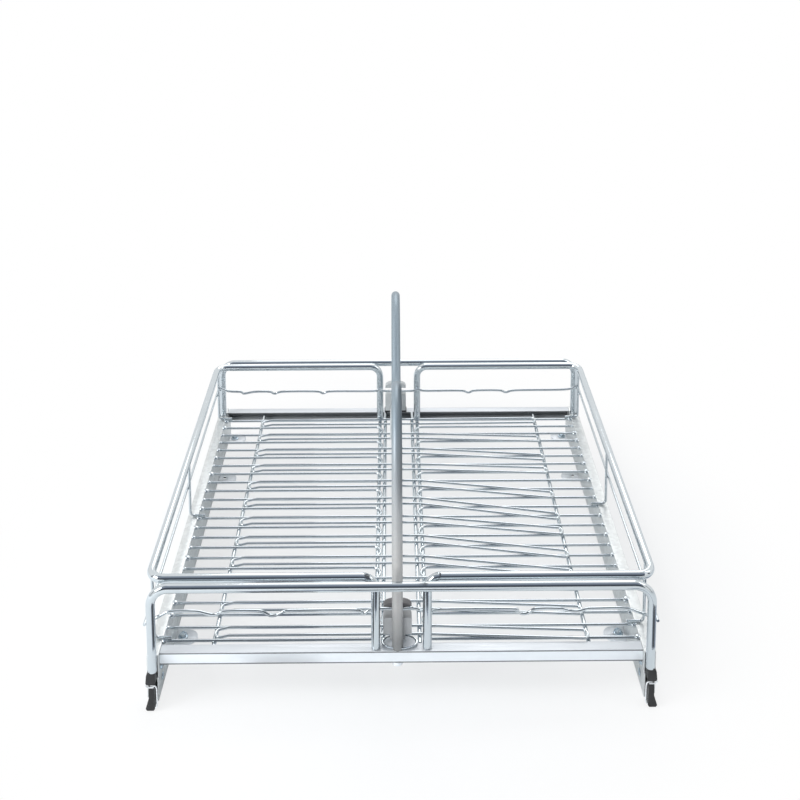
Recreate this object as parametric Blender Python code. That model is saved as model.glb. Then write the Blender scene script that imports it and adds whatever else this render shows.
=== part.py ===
"""Pull-out wire drawer for a kitchen base cabinet, in metres, +Z up, front towards -Y.

A welded basket of chromed wire rides on two floor-mounted roller rails. A pair of coated rods
bent like a wide M stands on the basket's centre line, and keeps pans apart.
The origin is under the middle of the whole drawer, on the cabinet's floor.
"""

import math

import bmesh
import bpy
from mathutils import Matrix, Vector

# General clearances
GAP = 0.0003
WELD = 0.0004
OVERRUN = 0.004

# Basket
HALF_WIDTH = 0.282
RIM_WIRE = 0.010
RIM_HEIGHT = 0.143
RIM_BEND = 0.0155
RIM_POST_X = 0.0285
FRONT_RIM = 0.0033
REAR_RIM_SETBACK = 0.0034

# Floor wires
FLOOR_HEIGHT = 0.0573
FLOOR_WIRE = 0.003
FLOOR_PITCH = 0.0203
FLOOR_COUNT = 24
FIRST_WIRE = 0.0175
RUNNER_WIRE = 0.005
RUNNER_X = 0.210
TURN_RUNNER_X = 0.0285
LANE_RUNNER_X = 0.0205
LOOP_WIRE = 0.0028
LOOP_HALF_WIDTH = 0.0065
LOOP_STEP = 0.010

# Places of the loops' right ends along the floor, as shares of the wire pitch
LOOP_END_SHARES = (
    0.07, 1.97, 4.0, 5.15, 6.95, 9.2, 10.75, 13.1, 15.95, 17.6, 20.0, 22.6,
)

# Handles
HANDLE_WIRE = 0.010
FRONT_STANDOFF = 0.0058
REAR_STANDOFF = 0.003
HANDLE_BEND = 0.020
HANDLE_FOOT_HEIGHT = 0.045

# Side wires
POST_WIRE = 0.0035
POST_BEND = 0.006
POST_TAIL = 0.010
LEFT_POST_WIRES = (1, 12, 24)
RIGHT_POST_WIRES = (2, 13, 24)

# Mid wires; their waves are shares of half the wire's span and of the wave's height
MID_WIRE = 0.003
SIDE_MID_RISE = 0.0427
FRONT_MID_RISE = 0.0412
REAR_MID_RISE = 0.0497
WAVE_HEIGHT = 0.0045
FRONT_WAVE_SHARES = (
    (-1.0, -2.1), (-0.975, -1.2), (-0.93, 0.0), (-0.84, 0.0), (-0.80, -0.6), (-0.60, -0.1),
    (-0.56, -0.9), (-0.52, -0.1), (-0.19, 0.0), (-0.155, -0.7), (-0.125, 0.0), (-0.06, 0.35),
    (0.0, 0.2), (0.05, 0.4), (0.115, -0.6), (0.16, 0.0), (0.45, 0.0), (0.49, -0.9), (0.53, 0.0),
    (0.70, 0.0), (0.74, 0.5), (0.78, 0.0), (0.90, 0.0), (0.96, -1.1), (1.0, -2.1),
)
REAR_WAVE_SHARES = (
    (-1.0, 1.5), (-0.95, 0.3), (-0.88, 0.0), (-0.86, -0.6), (-0.80, 0.0), (-0.72, 0.0),
    (-0.69, -0.7), (-0.64, 0.0), (-0.46, 0.0), (-0.42, -0.7), (-0.37, 0.0), (-0.14, 0.0),
    (-0.11, 0.6), (-0.07, 0.0), (0.07, 0.0), (0.11, 0.6), (0.15, 0.0), (0.34, 0.0),
    (0.39, -0.7), (0.43, 0.0), (0.56, 0.0), (0.60, -0.7), (0.66, 0.0), (0.93, 0.2), (1.0, 1.5),
)

# Cross bars
BAR_DEPTH = 0.0125
BAR_HEIGHT = 0.014
BAR_RISE = 0.0012
SHEET = 0.0015
REAR_BAR_SETBACK = 0.0247

# Rails
RAIL_INSET = 0.0015
RAIL_WIDTH = 0.0132
RAIL_RISE = 0.0017
RAIL_LIP_BOTTOM = 0.0325
RAIL_WEB_BOTTOM = 0.008
RUNNING_FLANGE_INSET = 0.011
FIXED_WEB_INSET = 0.0134
FIXED_FLANGE_INSET = 0.0035
FIXED_TOP_FLANGE_INSET = 0.006
FIXED_TOP = 0.031
RAIL_MARGIN = 0.0011
RAIL_OVERRUN = 0.0254
ROLLER_DIAMETER = 0.022
ROLLER_GROOVE = 0.0006
ROLLER_INSET = 0.0106
ROLLER_WIDTH = 0.0065
ROLLER_BORE = 0.0051
AXLE_DIAMETER = 0.0047
AXLE_HEAD = 0.008
AXLE_HEAD_THICKNESS = 0.0006
RIVET_HEAD_THICKNESS = 0.0011
RIVET_TOP_SHARE = 0.8
FRONT_ROLLER_SETBACK = 0.014
REAR_ROLLER_INSET = 0.020
AXLE_HOLE = 0.0053
FLANGE_CLEARANCE = 0.0007

# Black end caps
CAP_LENGTH = 0.012
CAP_TONGUE = 0.007
CAP_BOTTOM = 0.0005
CAP_LIP_TOP = 0.0072
CAP_ROUND = 0.002
BLOCK_BOTTOM = 0.0315
BLOCK_INNER_INSET = 0.014
BLOCK_OUTER_INSET = 0.0005
BLOCK_TONGUE = 0.016
BLOCK_TONGUE_SHARE = 0.6226
RAIL_SCREW_SHARE = 0.253
RAIL_SCREW_SETBACK = 0.004
RAIL_SCREW_HEAD = 0.0092
RAIL_SCREW_HEAD_HEIGHT = 0.0026
RAIL_SCREW_SHANK = 0.0032
RAIL_SCREW_LENGTH = 0.009
RAIL_SCREW_TOP_SHARE = 0.75
SCREW_CLEARANCE = 0.0006

# Feet
FOOT_THICKNESS = 0.002
FOOT_INNER_INSET = 0.039
FOOT_OUTER_INSET = 0.003
FOOT_WIDTH = 0.024
FOOT_PLACE_SHARES = (0.18, 0.776, 0.975)
FOOT_HOLE_INSET = 0.0215
FOOT_HOLE = 0.0052
FOOT_BOLT_SHANK = 0.0042
FOOT_BOLT_FLANGE = 0.012
FOOT_BOLT_FLANGE_THICKNESS = 0.001
FOOT_BOLT_HEX = 0.0092
FOOT_BOLT_HEAD_HEIGHT = 0.0042
FOOT_BOLT_SLOPE_SHARE = 0.8
HEX_CHAMFER_HEIGHT_SHARE = 0.85
HEX_CHAMFER_WIDTH_SHARE = 0.86
HEX_SIDES = 6

# Divider rods, as seen from the side
DIVIDER_X = -0.0045
DIVIDER_WIRE = 0.012
OUTER_HUMP_HEIGHT = 0.3043
INNER_SPAN_SHARE = 0.831
INNER_HEIGHT_SHARE = 0.640
OUTER_ROD_SHARES = (
    (1.0, 0.0), (1.0, 0.19), (0.990, 0.29), (0.966, 0.41), (0.935, 0.55), (0.905, 0.665),
    (0.8645, 0.765), (0.815, 0.845), (0.754, 0.912), (0.671, 0.970), (0.612, 0.993),
    (0.554, 1.0), (0.485, 0.988), (0.40, 0.948), (0.29, 0.88), (0.18, 0.805), (0.085, 0.742),
    (0.0, 0.7185),
)
INNER_ROD_SHARES = (
    (1.0, 0.0), (1.0, 0.065), (0.990, 0.19), (0.963, 0.358), (0.905, 0.63), (0.86, 0.765),
    (0.805, 0.865), (0.745, 0.935), (0.68, 0.982), (0.596, 1.0), (0.52, 0.985), (0.43, 0.935),
    (0.3048, 0.857), (0.171, 0.765), (0.075, 0.722), (0.0, 0.7124),
)

# Divider feet
SPIGOT = 0.005
SPIGOT_BORE = 0.0058
SPIGOT_REACH = 0.012
SPIGOT_HEAD = 0.013
SPIGOT_HEAD_HEIGHT = 0.0042
SPIGOT_HEAD_SHARE = 0.7
TONGUE_WIDTH = 0.017
TONGUE_HEIGHT = 0.009
TONGUE_MARGIN = 0.010
SOCKET_CLEARANCE = 0.0003
SOCKET_FLOOR = 0.002
TOWER_WIDTH = 0.032
TOWER_DEPTH = 0.013
TOWER_RISE = 0.0317
TOWER_TOP_ROUND = 0.003
TOWER_TOP_STEPS = 2
TOWER_SEAT = 0.0027
FRONT_TOWER = 0.0164
SADDLE_X = -0.002
SADDLE_PLACE = 0.0084
SADDLE_WIDTH = 0.041
SADDLE_DEPTH = 0.0219
SADDLE_THICKNESS = 0.002
PAD_THICKNESS = 0.0020
PAD_MARGIN = 0.0010
ROD_CLEARANCE = 0.0003
KNOB_RISE = 0.0402
KNOB_WIDTH = 0.032
KNOB_HEIGHT = 0.0085
KNOB_THICKNESS = 0.009
KNOB_EDGE = 0.0018
STEM = 0.006
STEM_CLEARANCE = 0.0006
COLLAR = 0.0098
COLLAR_THICKNESS = 0.0018
COLLAR_RISE = 0.0127
SPRING_BORE = 0.0103
SPRING_CEILING = 0.0045
SPRING_WIRE = 0.0008
SPRING_TURNS = 4
SPRING_POINTS = 7
SPRING_SIDES = 4

# Counts of sides and steps
THICK_SIDES = 8
THIN_SIDES = 6
BEND_STEPS = 4
ROUND_STEPS = 16
SMALL_STEPS = 12
OVAL_STEPS = 24
WAVE_STEPS = 2
SHARP_ANGLE = math.radians(50)
UPRIGHT_ANGLE = math.radians(10)

# Places along the depth, worked out from the basket
LAST_WIRE = FIRST_WIRE + (FLOOR_COUNT - 1) * FLOOR_PITCH
REAR_RIM = LAST_WIRE + REAR_RIM_SETBACK
FRONT_BAR = FRONT_RIM
REAR_BAR = REAR_RIM + REAR_BAR_SETBACK
FRONT_HANDLE = FRONT_RIM - (RIM_WIRE + HANDLE_WIRE) / 2 - FRONT_STANDOFF
REAR_HANDLE = REAR_RIM + (RIM_WIRE + HANDLE_WIRE) / 2 + REAR_STANDOFF
BEHIND_POST = (RIM_WIRE + MID_WIRE) / 2 + GAP
FRONT_MID_WIRE = FRONT_RIM + BEHIND_POST
REAR_MID_WIRE = REAR_RIM - BEHIND_POST
MOVING_RAIL_FRONT = FRONT_HANDLE + HANDLE_WIRE / 2 + GAP
MOVING_RAIL_REAR = REAR_BAR + BAR_DEPTH / 2 + RAIL_MARGIN
FRONT_END = FRONT_HANDLE - HANDLE_WIRE / 2
FIXED_RAIL_FRONT = FRONT_END + CAP_LENGTH
FIXED_RAIL_REAR = MOVING_RAIL_REAR + RAIL_OVERRUN
OVERALL_DEPTH = FIXED_RAIL_REAR - FRONT_END
FRONT_LINE = -OVERALL_DEPTH / 2 - FRONT_END

# Places across the width and up, worked out from the same values
RAIL_OUTER_X = HALF_WIDTH - RAIL_INSET
RUNNING_FLANGE_X = HALF_WIDTH - RUNNING_FLANGE_INSET
FIXED_WEB_X = HALF_WIDTH - FIXED_WEB_INSET
FIXED_FLANGE_X = HALF_WIDTH - FIXED_FLANGE_INSET
FIXED_TOP_FLANGE_X = HALF_WIDTH - FIXED_TOP_FLANGE_INSET
ROLLER_INNER_X = HALF_WIDTH - ROLLER_INSET
BLOCK_INNER_X = HALF_WIDTH - BLOCK_INNER_INSET
BLOCK_OUTER_X = HALF_WIDTH - BLOCK_OUTER_INSET
FOOT_INNER_X = HALF_WIDTH - FOOT_INNER_INSET
FOOT_OUTER_X = HALF_WIDTH - FOOT_OUTER_INSET
FOOT_HOLE_X = HALF_WIDTH - FOOT_HOLE_INSET
CAP_LIP_X = HALF_WIDTH
BAR_TOP = FLOOR_HEIGHT + BAR_RISE
RAIL_TOP = FLOOR_HEIGHT + RAIL_RISE
TOWER_TOP = FLOOR_HEIGHT + TOWER_RISE
KNOB_BOTTOM = FLOOR_HEIGHT + KNOB_RISE
COLLAR_HEIGHT = FLOOR_HEIGHT + COLLAR_RISE
RAIL_SIDE_HEIGHT = RAIL_TOP - RAIL_LIP_BOTTOM
BLOCK_TONGUE_TOP = RAIL_LIP_BOTTOM + RAIL_SIDE_HEIGHT * BLOCK_TONGUE_SHARE
RAIL_SCREW_HEIGHT = RAIL_LIP_BOTTOM + RAIL_SIDE_HEIGHT * RAIL_SCREW_SHARE
SIDE_MID_HEIGHT = FLOOR_HEIGHT + SIDE_MID_RISE
FRONT_MID_HEIGHT = FLOOR_HEIGHT + FRONT_MID_RISE
REAR_MID_HEIGHT = FLOOR_HEIGHT + REAR_MID_RISE
RIM_X = HALF_WIDTH - RIM_WIRE / 2
SIDE_WIRE_X = RIM_X + POST_WIRE / 2 + MID_WIRE / 2 - WELD
HANDLE_X = SIDE_WIRE_X - MID_WIRE / 2 - GAP - HANDLE_WIRE / 2
RAIL_INNER_X = RAIL_OUTER_X - RAIL_WIDTH
FLOOR_END_X = RAIL_INNER_X - GAP
RUNNER_HEIGHT = FLOOR_HEIGHT - FLOOR_WIRE / 2 - RUNNER_WIRE / 2 + WELD
LOOP_HEIGHT = FLOOR_HEIGHT + FLOOR_WIRE / 2 + GAP + LOOP_WIRE / 2
LOOP_LOW_HEIGHT = RUNNER_HEIGHT + RUNNER_WIRE / 2 + GAP + LOOP_WIRE / 2
LANE_RUNNER_HEIGHT = LOOP_HEIGHT - LOOP_WIRE / 2 - RUNNER_WIRE / 2 + WELD
TURN_APEX_X = LANE_RUNNER_X + RUNNER_WIRE / 2 + GAP + FLOOR_WIRE / 2
LOOP_TOP = LOOP_HEIGHT + LOOP_WIRE / 2
BAR_BOTTOM = BAR_TOP - BAR_HEIGHT
FIXED_BOTTOM = FOOT_THICKNESS + GAP
REAR_ROLLER_HEIGHT = FIXED_BOTTOM + SHEET + GAP + ROLLER_DIAMETER / 2
RUNNING_FLANGE_TOP = FIXED_TOP - SHEET - FLANGE_CLEARANCE
RUNNING_FLANGE_BOTTOM = RUNNING_FLANGE_TOP - SHEET
FRONT_ROLLER_HEIGHT = RUNNING_FLANGE_BOTTOM - GAP - ROLLER_DIAMETER / 2
MOVING_WEB_X = RAIL_OUTER_X - SHEET
FRONT_ROLLER = FIXED_RAIL_FRONT + FRONT_ROLLER_SETBACK + CAP_TONGUE
REAR_ROLLER = MOVING_RAIL_REAR - REAR_ROLLER_INSET
POST_TAIL_HEIGHT = RAIL_TOP + GAP + POST_WIRE / 2
POST_TOP = RIM_HEIGHT - RIM_WIRE / 2 - GAP

# Places of the divider
ROD_SETOFF = (MID_WIRE + DIVIDER_WIRE) / 2 + ROD_CLEARANCE
FRONT_ROD_END = FRONT_MID_WIRE - ROD_SETOFF
REAR_ROD_END = REAR_MID_WIRE - ROD_SETOFF
OUTER_HALF_SPAN = (REAR_ROD_END - FRONT_ROD_END) / 2
ROD_CENTRE = (REAR_ROD_END + FRONT_ROD_END) / 2
INNER_HALF_SPAN = OUTER_HALF_SPAN * INNER_SPAN_SHARE
TONGUE_BOTTOM = LOOP_TOP + GAP
TONGUE_TOP = TONGUE_BOTTOM + TONGUE_HEIGHT
ROD_FOOT_FRONT = BAR_TOP + GAP
ROD_FOOT_SOCKET = TONGUE_BOTTOM + SOCKET_FLOOR + GAP
FRONT_TOWER_BOTTOM = TONGUE_TOP - TOWER_SEAT
REAR_TOWER_BOTTOM = BAR_TOP + PAD_THICKNESS + 2 * GAP
SADDLE_BOTTOM = LANE_RUNNER_HEIGHT + RUNNER_WIRE / 2 + GAP
SADDLE_TOP = SADDLE_BOTTOM + SADDLE_THICKNESS
PIN_HOLE = STEM + STEM_CLEARANCE
SPRING_TOP = TOWER_TOP - SPRING_CEILING - GAP
SPRING_BOTTOM = COLLAR_HEIGHT + COLLAR_THICKNESS + GAP


def at(distance):
    """The world Y of a place given as its distance behind the front bar's centre line."""
    return FRONT_LINE + distance


def floor_wire_place(number):
    """How far behind the front bar a floor wire lies; number 1 is the first one."""
    return FIRST_WIRE + (number - 1) * FLOOR_PITCH


# Materials


def make_material(name, colour, roughness, metallic):
    material = bpy.data.materials.new(name)
    material.use_nodes = True
    shader = material.node_tree.nodes["Principled BSDF"]
    shader.inputs["Base Color"].default_value = (*colour, 1.0)
    shader.inputs["Roughness"].default_value = roughness
    shader.inputs["Metallic"].default_value = metallic
    material.diffuse_color = (*colour, 1.0)
    return material


FINISHES = {
    "chrome": ((0.78, 0.80, 0.83), 0.12, 1.0),
    "zinc": ((0.66, 0.70, 0.76), 0.34, 1.0),
    "rail_steel": ((0.62, 0.63, 0.64), 0.38, 1.0),
    "rod_coating": ((0.30, 0.34, 0.37), 0.45, 0.0),
    "grey_plastic": ((0.36, 0.34, 0.33), 0.50, 0.0),
    "black_plastic": ((0.015, 0.015, 0.017), 0.45, 0.0),
    "white_plastic": ((0.75, 0.75, 0.72), 0.40, 0.0),
    "spring_steel": ((0.45, 0.46, 0.47), 0.30, 1.0),
}


def finish(obj, kind):
    """Gives a piece its own material, and shades it by the angle of its edges."""
    obj.data.materials.clear()
    obj.data.materials.append(make_material(obj.name + "_" + kind, *FINISHES[kind]))
    obj.data.shade_smooth()
    obj.data.set_sharp_from_angle(angle=SHARP_ANGLE)
    return obj


# Meshes


def new_object(name, mesh_data):
    """Makes an object of a bmesh whose faces all point outwards."""
    bmesh.ops.recalc_face_normals(mesh_data, faces=mesh_data.faces)
    mesh = bpy.data.meshes.new(name)
    mesh_data.to_mesh(mesh)
    mesh_data.free()
    obj = bpy.data.objects.new(name, mesh)
    bpy.context.scene.collection.objects.link(obj)
    return obj


def bridge(mesh_data, ring_a, ring_b):
    count = len(ring_a)
    for i in range(count):
        j = (i + 1) % count
        mesh_data.faces.new((ring_a[i], ring_a[j], ring_b[j], ring_b[i]))


def wire(name, points, diameter, sides, closed=False):
    """Sweeps a round section along a path, with mitred joints and flat ends."""
    points = [Vector(p) for p in points]
    count = len(points)
    ways = [(points[(i + 1) % count] - points[i]).normalized() for i in range(count)]
    up = Vector((0, 0, 1))
    if abs(ways[0].dot(up)) > math.cos(UPRIGHT_ANGLE):
        up = Vector((1, 0, 0))
    across = ways[0].cross(up).normalized()
    up = across.cross(ways[0])
    section = []
    for k in range(sides):
        angle = 2 * math.pi * k / sides
        section.append((up * math.cos(angle) + across * math.sin(angle)) * diameter / 2)
    mesh_data = bmesh.new()
    rings = []
    corners = [points[0] + s for s in section]
    for i in range(count):
        first, last = i == 0 and not closed, i == count - 1 and not closed
        before = ways[i] if first else ways[i - 1]
        after = ways[i - 1] if last else ways[i]
        plane = (before + after).normalized()
        travel = ways[0] if i == 0 else ways[i - 1]
        corners = [c + travel * ((points[i] - c).dot(plane) / travel.dot(plane)) for c in corners]
        rings.append([mesh_data.verts.new(c) for c in corners])
    for i in range(count - 1):
        bridge(mesh_data, rings[i], rings[i + 1])
    if closed:
        bridge(mesh_data, rings[-1], rings[0])
    else:
        mesh_data.faces.new(rings[0])
        mesh_data.faces.new(rings[-1])
    return new_object(name, mesh_data)


def rounded_path(corners, radius, steps=BEND_STEPS):
    """A path through corners, each inner one replaced by an arc of the radius."""
    corners = [Vector(c) for c in corners]
    path = [corners[0]]
    for before, corner, after in zip(corners, corners[1:], corners[2:]):
        a = (before - corner).normalized()
        b = (after - corner).normalized()
        half = a.angle(b) / 2
        reach = radius / math.tan(half)
        centre = corner + (a + b).normalized() * (radius / math.sin(half))
        start = (corner + a * reach - centre).normalized()
        end = (corner + b * reach - centre).normalized()
        for step in range(steps + 1):
            path.append(centre + start.slerp(end, step / steps) * radius)
    path.append(corners[-1])
    return path


def smooth_path(points, steps):
    """Points read from a smooth curve that passes through the given ones."""
    points = [Vector(p) for p in points]
    ends = [points[0] * 2 - points[1], *points, points[-1] * 2 - points[-2]]
    path = []
    for p0, p1, p2, p3 in zip(ends, ends[1:], ends[2:], ends[3:]):
        for step in range(steps):
            t = step / steps
            path.append(
                (p1 * 2 + (p2 - p0) * t + (p0 * 2 - p1 * 5 + p2 * 4 - p3) * t ** 2
                 + (p1 * 3 - p0 - p2 * 3 + p3) * t ** 3) / 2
            )
    path.append(points[-1])
    return path


def extrusion(name, outline, start, end):
    """A flat outline in X and Z, drawn out along Y from start to end."""
    mesh_data = bmesh.new()
    front = [mesh_data.verts.new((x, start, z)) for x, z in outline]
    back = [mesh_data.verts.new((x, end, z)) for x, z in outline]
    bridge(mesh_data, front, back)
    mesh_data.faces.new(front)
    mesh_data.faces.new(back)
    return new_object(name, mesh_data)


def slab(name, outline, bottom, top):
    """A flat outline in X and Y, drawn up from bottom to top."""
    mesh_data = bmesh.new()
    low = [mesh_data.verts.new((x, y, bottom)) for x, y in outline]
    high = [mesh_data.verts.new((x, y, top)) for x, y in outline]
    bridge(mesh_data, low, high)
    mesh_data.faces.new(low)
    mesh_data.faces.new(high)
    return new_object(name, mesh_data)


def box(name, low, high):
    x0, y0, z0 = low
    x1, y1, z1 = high
    return slab(name, ((x0, y0), (x1, y0), (x1, y1), (x0, y1)), z0, z1)


def turned(name, profile, steps, centre, axis="Z"):
    """Turns a profile of (radius, height) pairs round an axis through the centre."""
    turn = Matrix.Rotation(math.pi / 2, 3, "Y") if axis == "X" else Matrix.Identity(3)
    mesh_data = bmesh.new()
    rings = []
    for radius, height in profile:
        if radius == 0:
            rings.append([mesh_data.verts.new(turn @ Vector((0, 0, height)))])
            continue
        ring = []
        for k in range(steps):
            angle = 2 * math.pi * (k + 0.5) / steps
            spot = Vector((radius * math.cos(angle), radius * math.sin(angle), height))
            ring.append(mesh_data.verts.new(turn @ spot))
        rings.append(ring)
    for ring_a, ring_b in zip(rings, rings[1:]):
        if len(ring_a) == 1 or len(ring_b) == 1:
            tip, ring = (ring_a[0], ring_b) if len(ring_a) == 1 else (ring_b[0], ring_a)
            for k in range(steps):
                mesh_data.faces.new((tip, ring[k], ring[(k + 1) % steps]))
        else:
            bridge(mesh_data, ring_a, ring_b)
    if profile[0] == profile[-1]:
        bmesh.ops.remove_doubles(mesh_data, verts=mesh_data.verts, dist=GAP / 100)
    else:
        for ring in (rings[0], rings[-1]):
            if len(ring) > 2:
                mesh_data.faces.new(ring)
    obj = new_object(name, mesh_data)
    obj.data.transform(Matrix.Translation(Vector(centre)))
    return obj


def ellipse(centre, half_x, half_y, steps):
    x, y = centre
    turns = [2 * math.pi * (k + 0.5) / steps for k in range(steps)]
    return [(x + half_x * math.cos(t), y + half_y * math.sin(t)) for t in turns]


def combine(base, others, operation):
    """Cuts or joins others with base by exact Booleans, and removes them."""
    for other in others:
        modifier = base.modifiers.new(operation, "BOOLEAN")
        modifier.operation = operation
        modifier.solver = "EXACT"
        modifier.object = other
    bpy.context.view_layer.update()
    shape = base.evaluated_get(bpy.context.evaluated_depsgraph_get())
    mesh = bpy.data.meshes.new_from_object(shape)
    mesh.name = base.name
    base.modifiers.clear()
    base.data = mesh
    for other in others:
        bpy.data.objects.remove(other)
    return base


def cut(base, *cutters):
    return combine(base, cutters, "DIFFERENCE")


def weld(name, pieces):
    """Joins overlapping pieces into one body, all in one exact Boolean."""
    base, group = pieces[0], bpy.data.collections.new(name + "_pieces")
    bpy.context.scene.collection.children.link(group)
    for piece in pieces[1:]:
        bpy.context.scene.collection.objects.unlink(piece)
        group.objects.link(piece)
    modifier = base.modifiers.new("weld", "BOOLEAN")
    modifier.operation = "UNION"
    modifier.solver = "EXACT"
    modifier.operand_type = "COLLECTION"
    modifier.collection = group
    bpy.context.view_layer.update()
    shape = base.evaluated_get(bpy.context.evaluated_depsgraph_get())
    mesh = bpy.data.meshes.new_from_object(shape)
    base.modifiers.clear()
    base.data = mesh
    base.name = name
    mesh.name = name
    for piece in pieces[1:]:
        bpy.data.objects.remove(piece)
    bpy.data.collections.remove(group)
    return base


def put_origin(obj, place):
    """Moves an object's origin to its joint's axis, and leaves its mesh where it is."""
    obj.data.transform(Matrix.Translation(-Vector(place)))
    obj.location = place
    return obj


# Basket wires


def rim(side, name):
    """Half of the top rail: centre post, front bar, side rail, rear bar and centre post."""
    corners = [
        (side * RIM_POST_X, at(FRONT_RIM), BAR_TOP + GAP),
        (side * RIM_POST_X, at(FRONT_RIM), RIM_HEIGHT),
        (side * RIM_X, at(FRONT_RIM), RIM_HEIGHT),
        (side * RIM_X, at(REAR_RIM), RIM_HEIGHT),
        (side * RIM_POST_X, at(REAR_RIM), RIM_HEIGHT),
        (side * RIM_POST_X, at(REAR_RIM), FLOOR_HEIGHT + FLOOR_WIRE / 2 + GAP),
    ]
    return finish(wire(name, rounded_path(corners, RIM_BEND), RIM_WIRE, THICK_SIDES), "chrome")


def handle(name, place):
    """The full-width bar at one end, whose two legs go down to the moving rails."""
    corners = [
        (-HANDLE_X, at(place), HANDLE_FOOT_HEIGHT),
        (-HANDLE_X, at(place), RIM_HEIGHT),
        (HANDLE_X, at(place), RIM_HEIGHT),
        (HANDLE_X, at(place), HANDLE_FOOT_HEIGHT),
    ]
    path = rounded_path(corners, HANDLE_BEND)
    return finish(wire(name, path, HANDLE_WIRE, THICK_SIDES), "chrome")


def mid_wire(name, place, middle, shares):
    """A thin wavy wire across one end at mid height, welded to the centre posts."""
    half_span = RIM_X - POST_WIRE / 2 - GAP
    points = [
        (across * half_span, at(place), middle + height * WAVE_HEIGHT) for across, height in shares
    ]
    return finish(wire(name, smooth_path(points, WAVE_STEPS), MID_WIRE, THIN_SIDES), "chrome")


def side_wires(side, name, numbers):
    """The mid wire along one side, with the thin posts that it is welded to."""
    pieces = []
    x, z = side * SIDE_WIRE_X, SIDE_MID_HEIGHT
    ends = ((x, at(FRONT_HANDLE), z), (x, at(REAR_HANDLE), z))
    pieces.append(wire(name, ends, MID_WIRE, THIN_SIDES))
    for number in numbers:
        y = at(floor_wire_place(number))
        corners = (
            (side * RIM_X, y, POST_TOP),
            (side * RIM_X, y, POST_TAIL_HEIGHT),
            (side * (RAIL_INNER_X - POST_TAIL), y, POST_TAIL_HEIGHT),
        )
        path = rounded_path(corners, POST_BEND)
        pieces.append(wire("post", path, POST_WIRE, THIN_SIDES))
    return finish(weld(name, pieces), "chrome")


def runner(x, height, reach):
    """A lengthwise wire whose ends reach that far past the centre lines of the cross bars."""
    start, end = at(FRONT_BAR - reach), at(REAR_BAR + reach)
    return wire("runner", ((x, start, height), (x, end, height)), RUNNER_WIRE, THIN_SIDES)


def hairpin(side, number):
    """Two neighbouring floor wires joined by a half turn near the centre lane."""
    radius = FLOOR_PITCH / 2
    middle = at(floor_wire_place(number) + radius)
    centre_x = TURN_APEX_X + radius
    points = [(side * FLOOR_END_X, middle - radius, FLOOR_HEIGHT)]
    steps = BEND_STEPS + 1
    for step in range(steps + 1):
        angle = math.pi * step / steps
        x = centre_x - radius * math.sin(angle)
        points.append((side * x, middle - radius * math.cos(angle), FLOOR_HEIGHT))
    points.append((side * FLOOR_END_X, middle + radius, FLOOR_HEIGHT))
    return wire("hairpin", points, FLOOR_WIRE, THIN_SIDES)


def single_wire(side, number):
    y = at(floor_wire_place(number))
    ends = ((side * FLOOR_END_X, y, FLOOR_HEIGHT), (side * TURN_APEX_X, y, FLOOR_HEIGHT))
    return wire("single", ends, FLOOR_WIRE, THIN_SIDES)


def floor_mat(side, name):
    """One half of the floor: hairpin wires welded onto two lengthwise runners."""
    reach = BAR_DEPTH / 2 - SHEET - GAP
    pieces = [runner(side * x, RUNNER_HEIGHT, reach) for x in (TURN_RUNNER_X, RUNNER_X)]
    pieces += [hairpin(side, number) for number in range(2, FLOOR_COUNT - 1, 2)]
    pieces += [single_wire(side, 1), single_wire(side, FLOOR_COUNT)]
    return finish(weld(name, pieces), "chrome")


def loop_turn(side, middle, height):
    """The half turn at one end of a loop, from its front leg to its rear leg on the right."""
    radius = LOOP_HALF_WIDTH
    points = []
    for step in range(BEND_STEPS + 1):
        angle = math.pi * step / BEND_STEPS
        x = RUNNER_X - radius + radius * math.sin(angle)
        points.append((side * x, middle - side * radius * math.cos(angle), height))
    return points


def lane_loop(number, end_share):
    """A long closed loop across the centre lane, whose right half slants to its end's place.

    It lies on the floor wires, and its left end is bent down onto the outer runner.
    """
    radius = LOOP_HALF_WIDTH
    middle = at(floor_wire_place(number) + FLOOR_PITCH / 2)
    left_turn = loop_turn(-1, middle, LOOP_LOW_HEIGHT)
    right_turn = loop_turn(1, at(FIRST_WIRE + end_share * FLOOR_PITCH), LOOP_HEIGHT)
    bend_x = -(RUNNER_X - radius) + LOOP_STEP
    slant_x = LANE_RUNNER_X + radius
    front, rear = middle - radius, middle + radius
    points = [(bend_x, front, LOOP_HEIGHT), (slant_x, front, LOOP_HEIGHT)]
    points += right_turn
    points += [(slant_x, rear, LOOP_HEIGHT), (bend_x, rear, LOOP_HEIGHT)]
    points += left_turn
    return wire("loop", points, LOOP_WIRE, THIN_SIDES, closed=True)


def lane_grid(name):
    """The twelve centre loops, welded onto the two runners of the centre lane."""
    reach = -BAR_DEPTH / 2 - GAP
    pieces = [runner(side * LANE_RUNNER_X, LANE_RUNNER_HEIGHT, reach) for side in (-1, 1)]
    numbers = range(1, FLOOR_COUNT, 2)
    pieces += [lane_loop(number, share) for number, share in zip(numbers, LOOP_END_SHARES)]
    return finish(weld(name, pieces), "chrome")


# Cross bars and rails


def channel_outline(depth, height, sheet, way):
    """A C section whose web stands on one side; way is +1 where it opens towards +Y."""
    half = depth / 2
    points = (
        (-half, 0), (half, 0), (half, sheet), (sheet - half, sheet),
        (sheet - half, height - sheet), (half, height - sheet), (half, height), (-half, height),
    )
    return [(way * y, z) for y, z in points]


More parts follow.
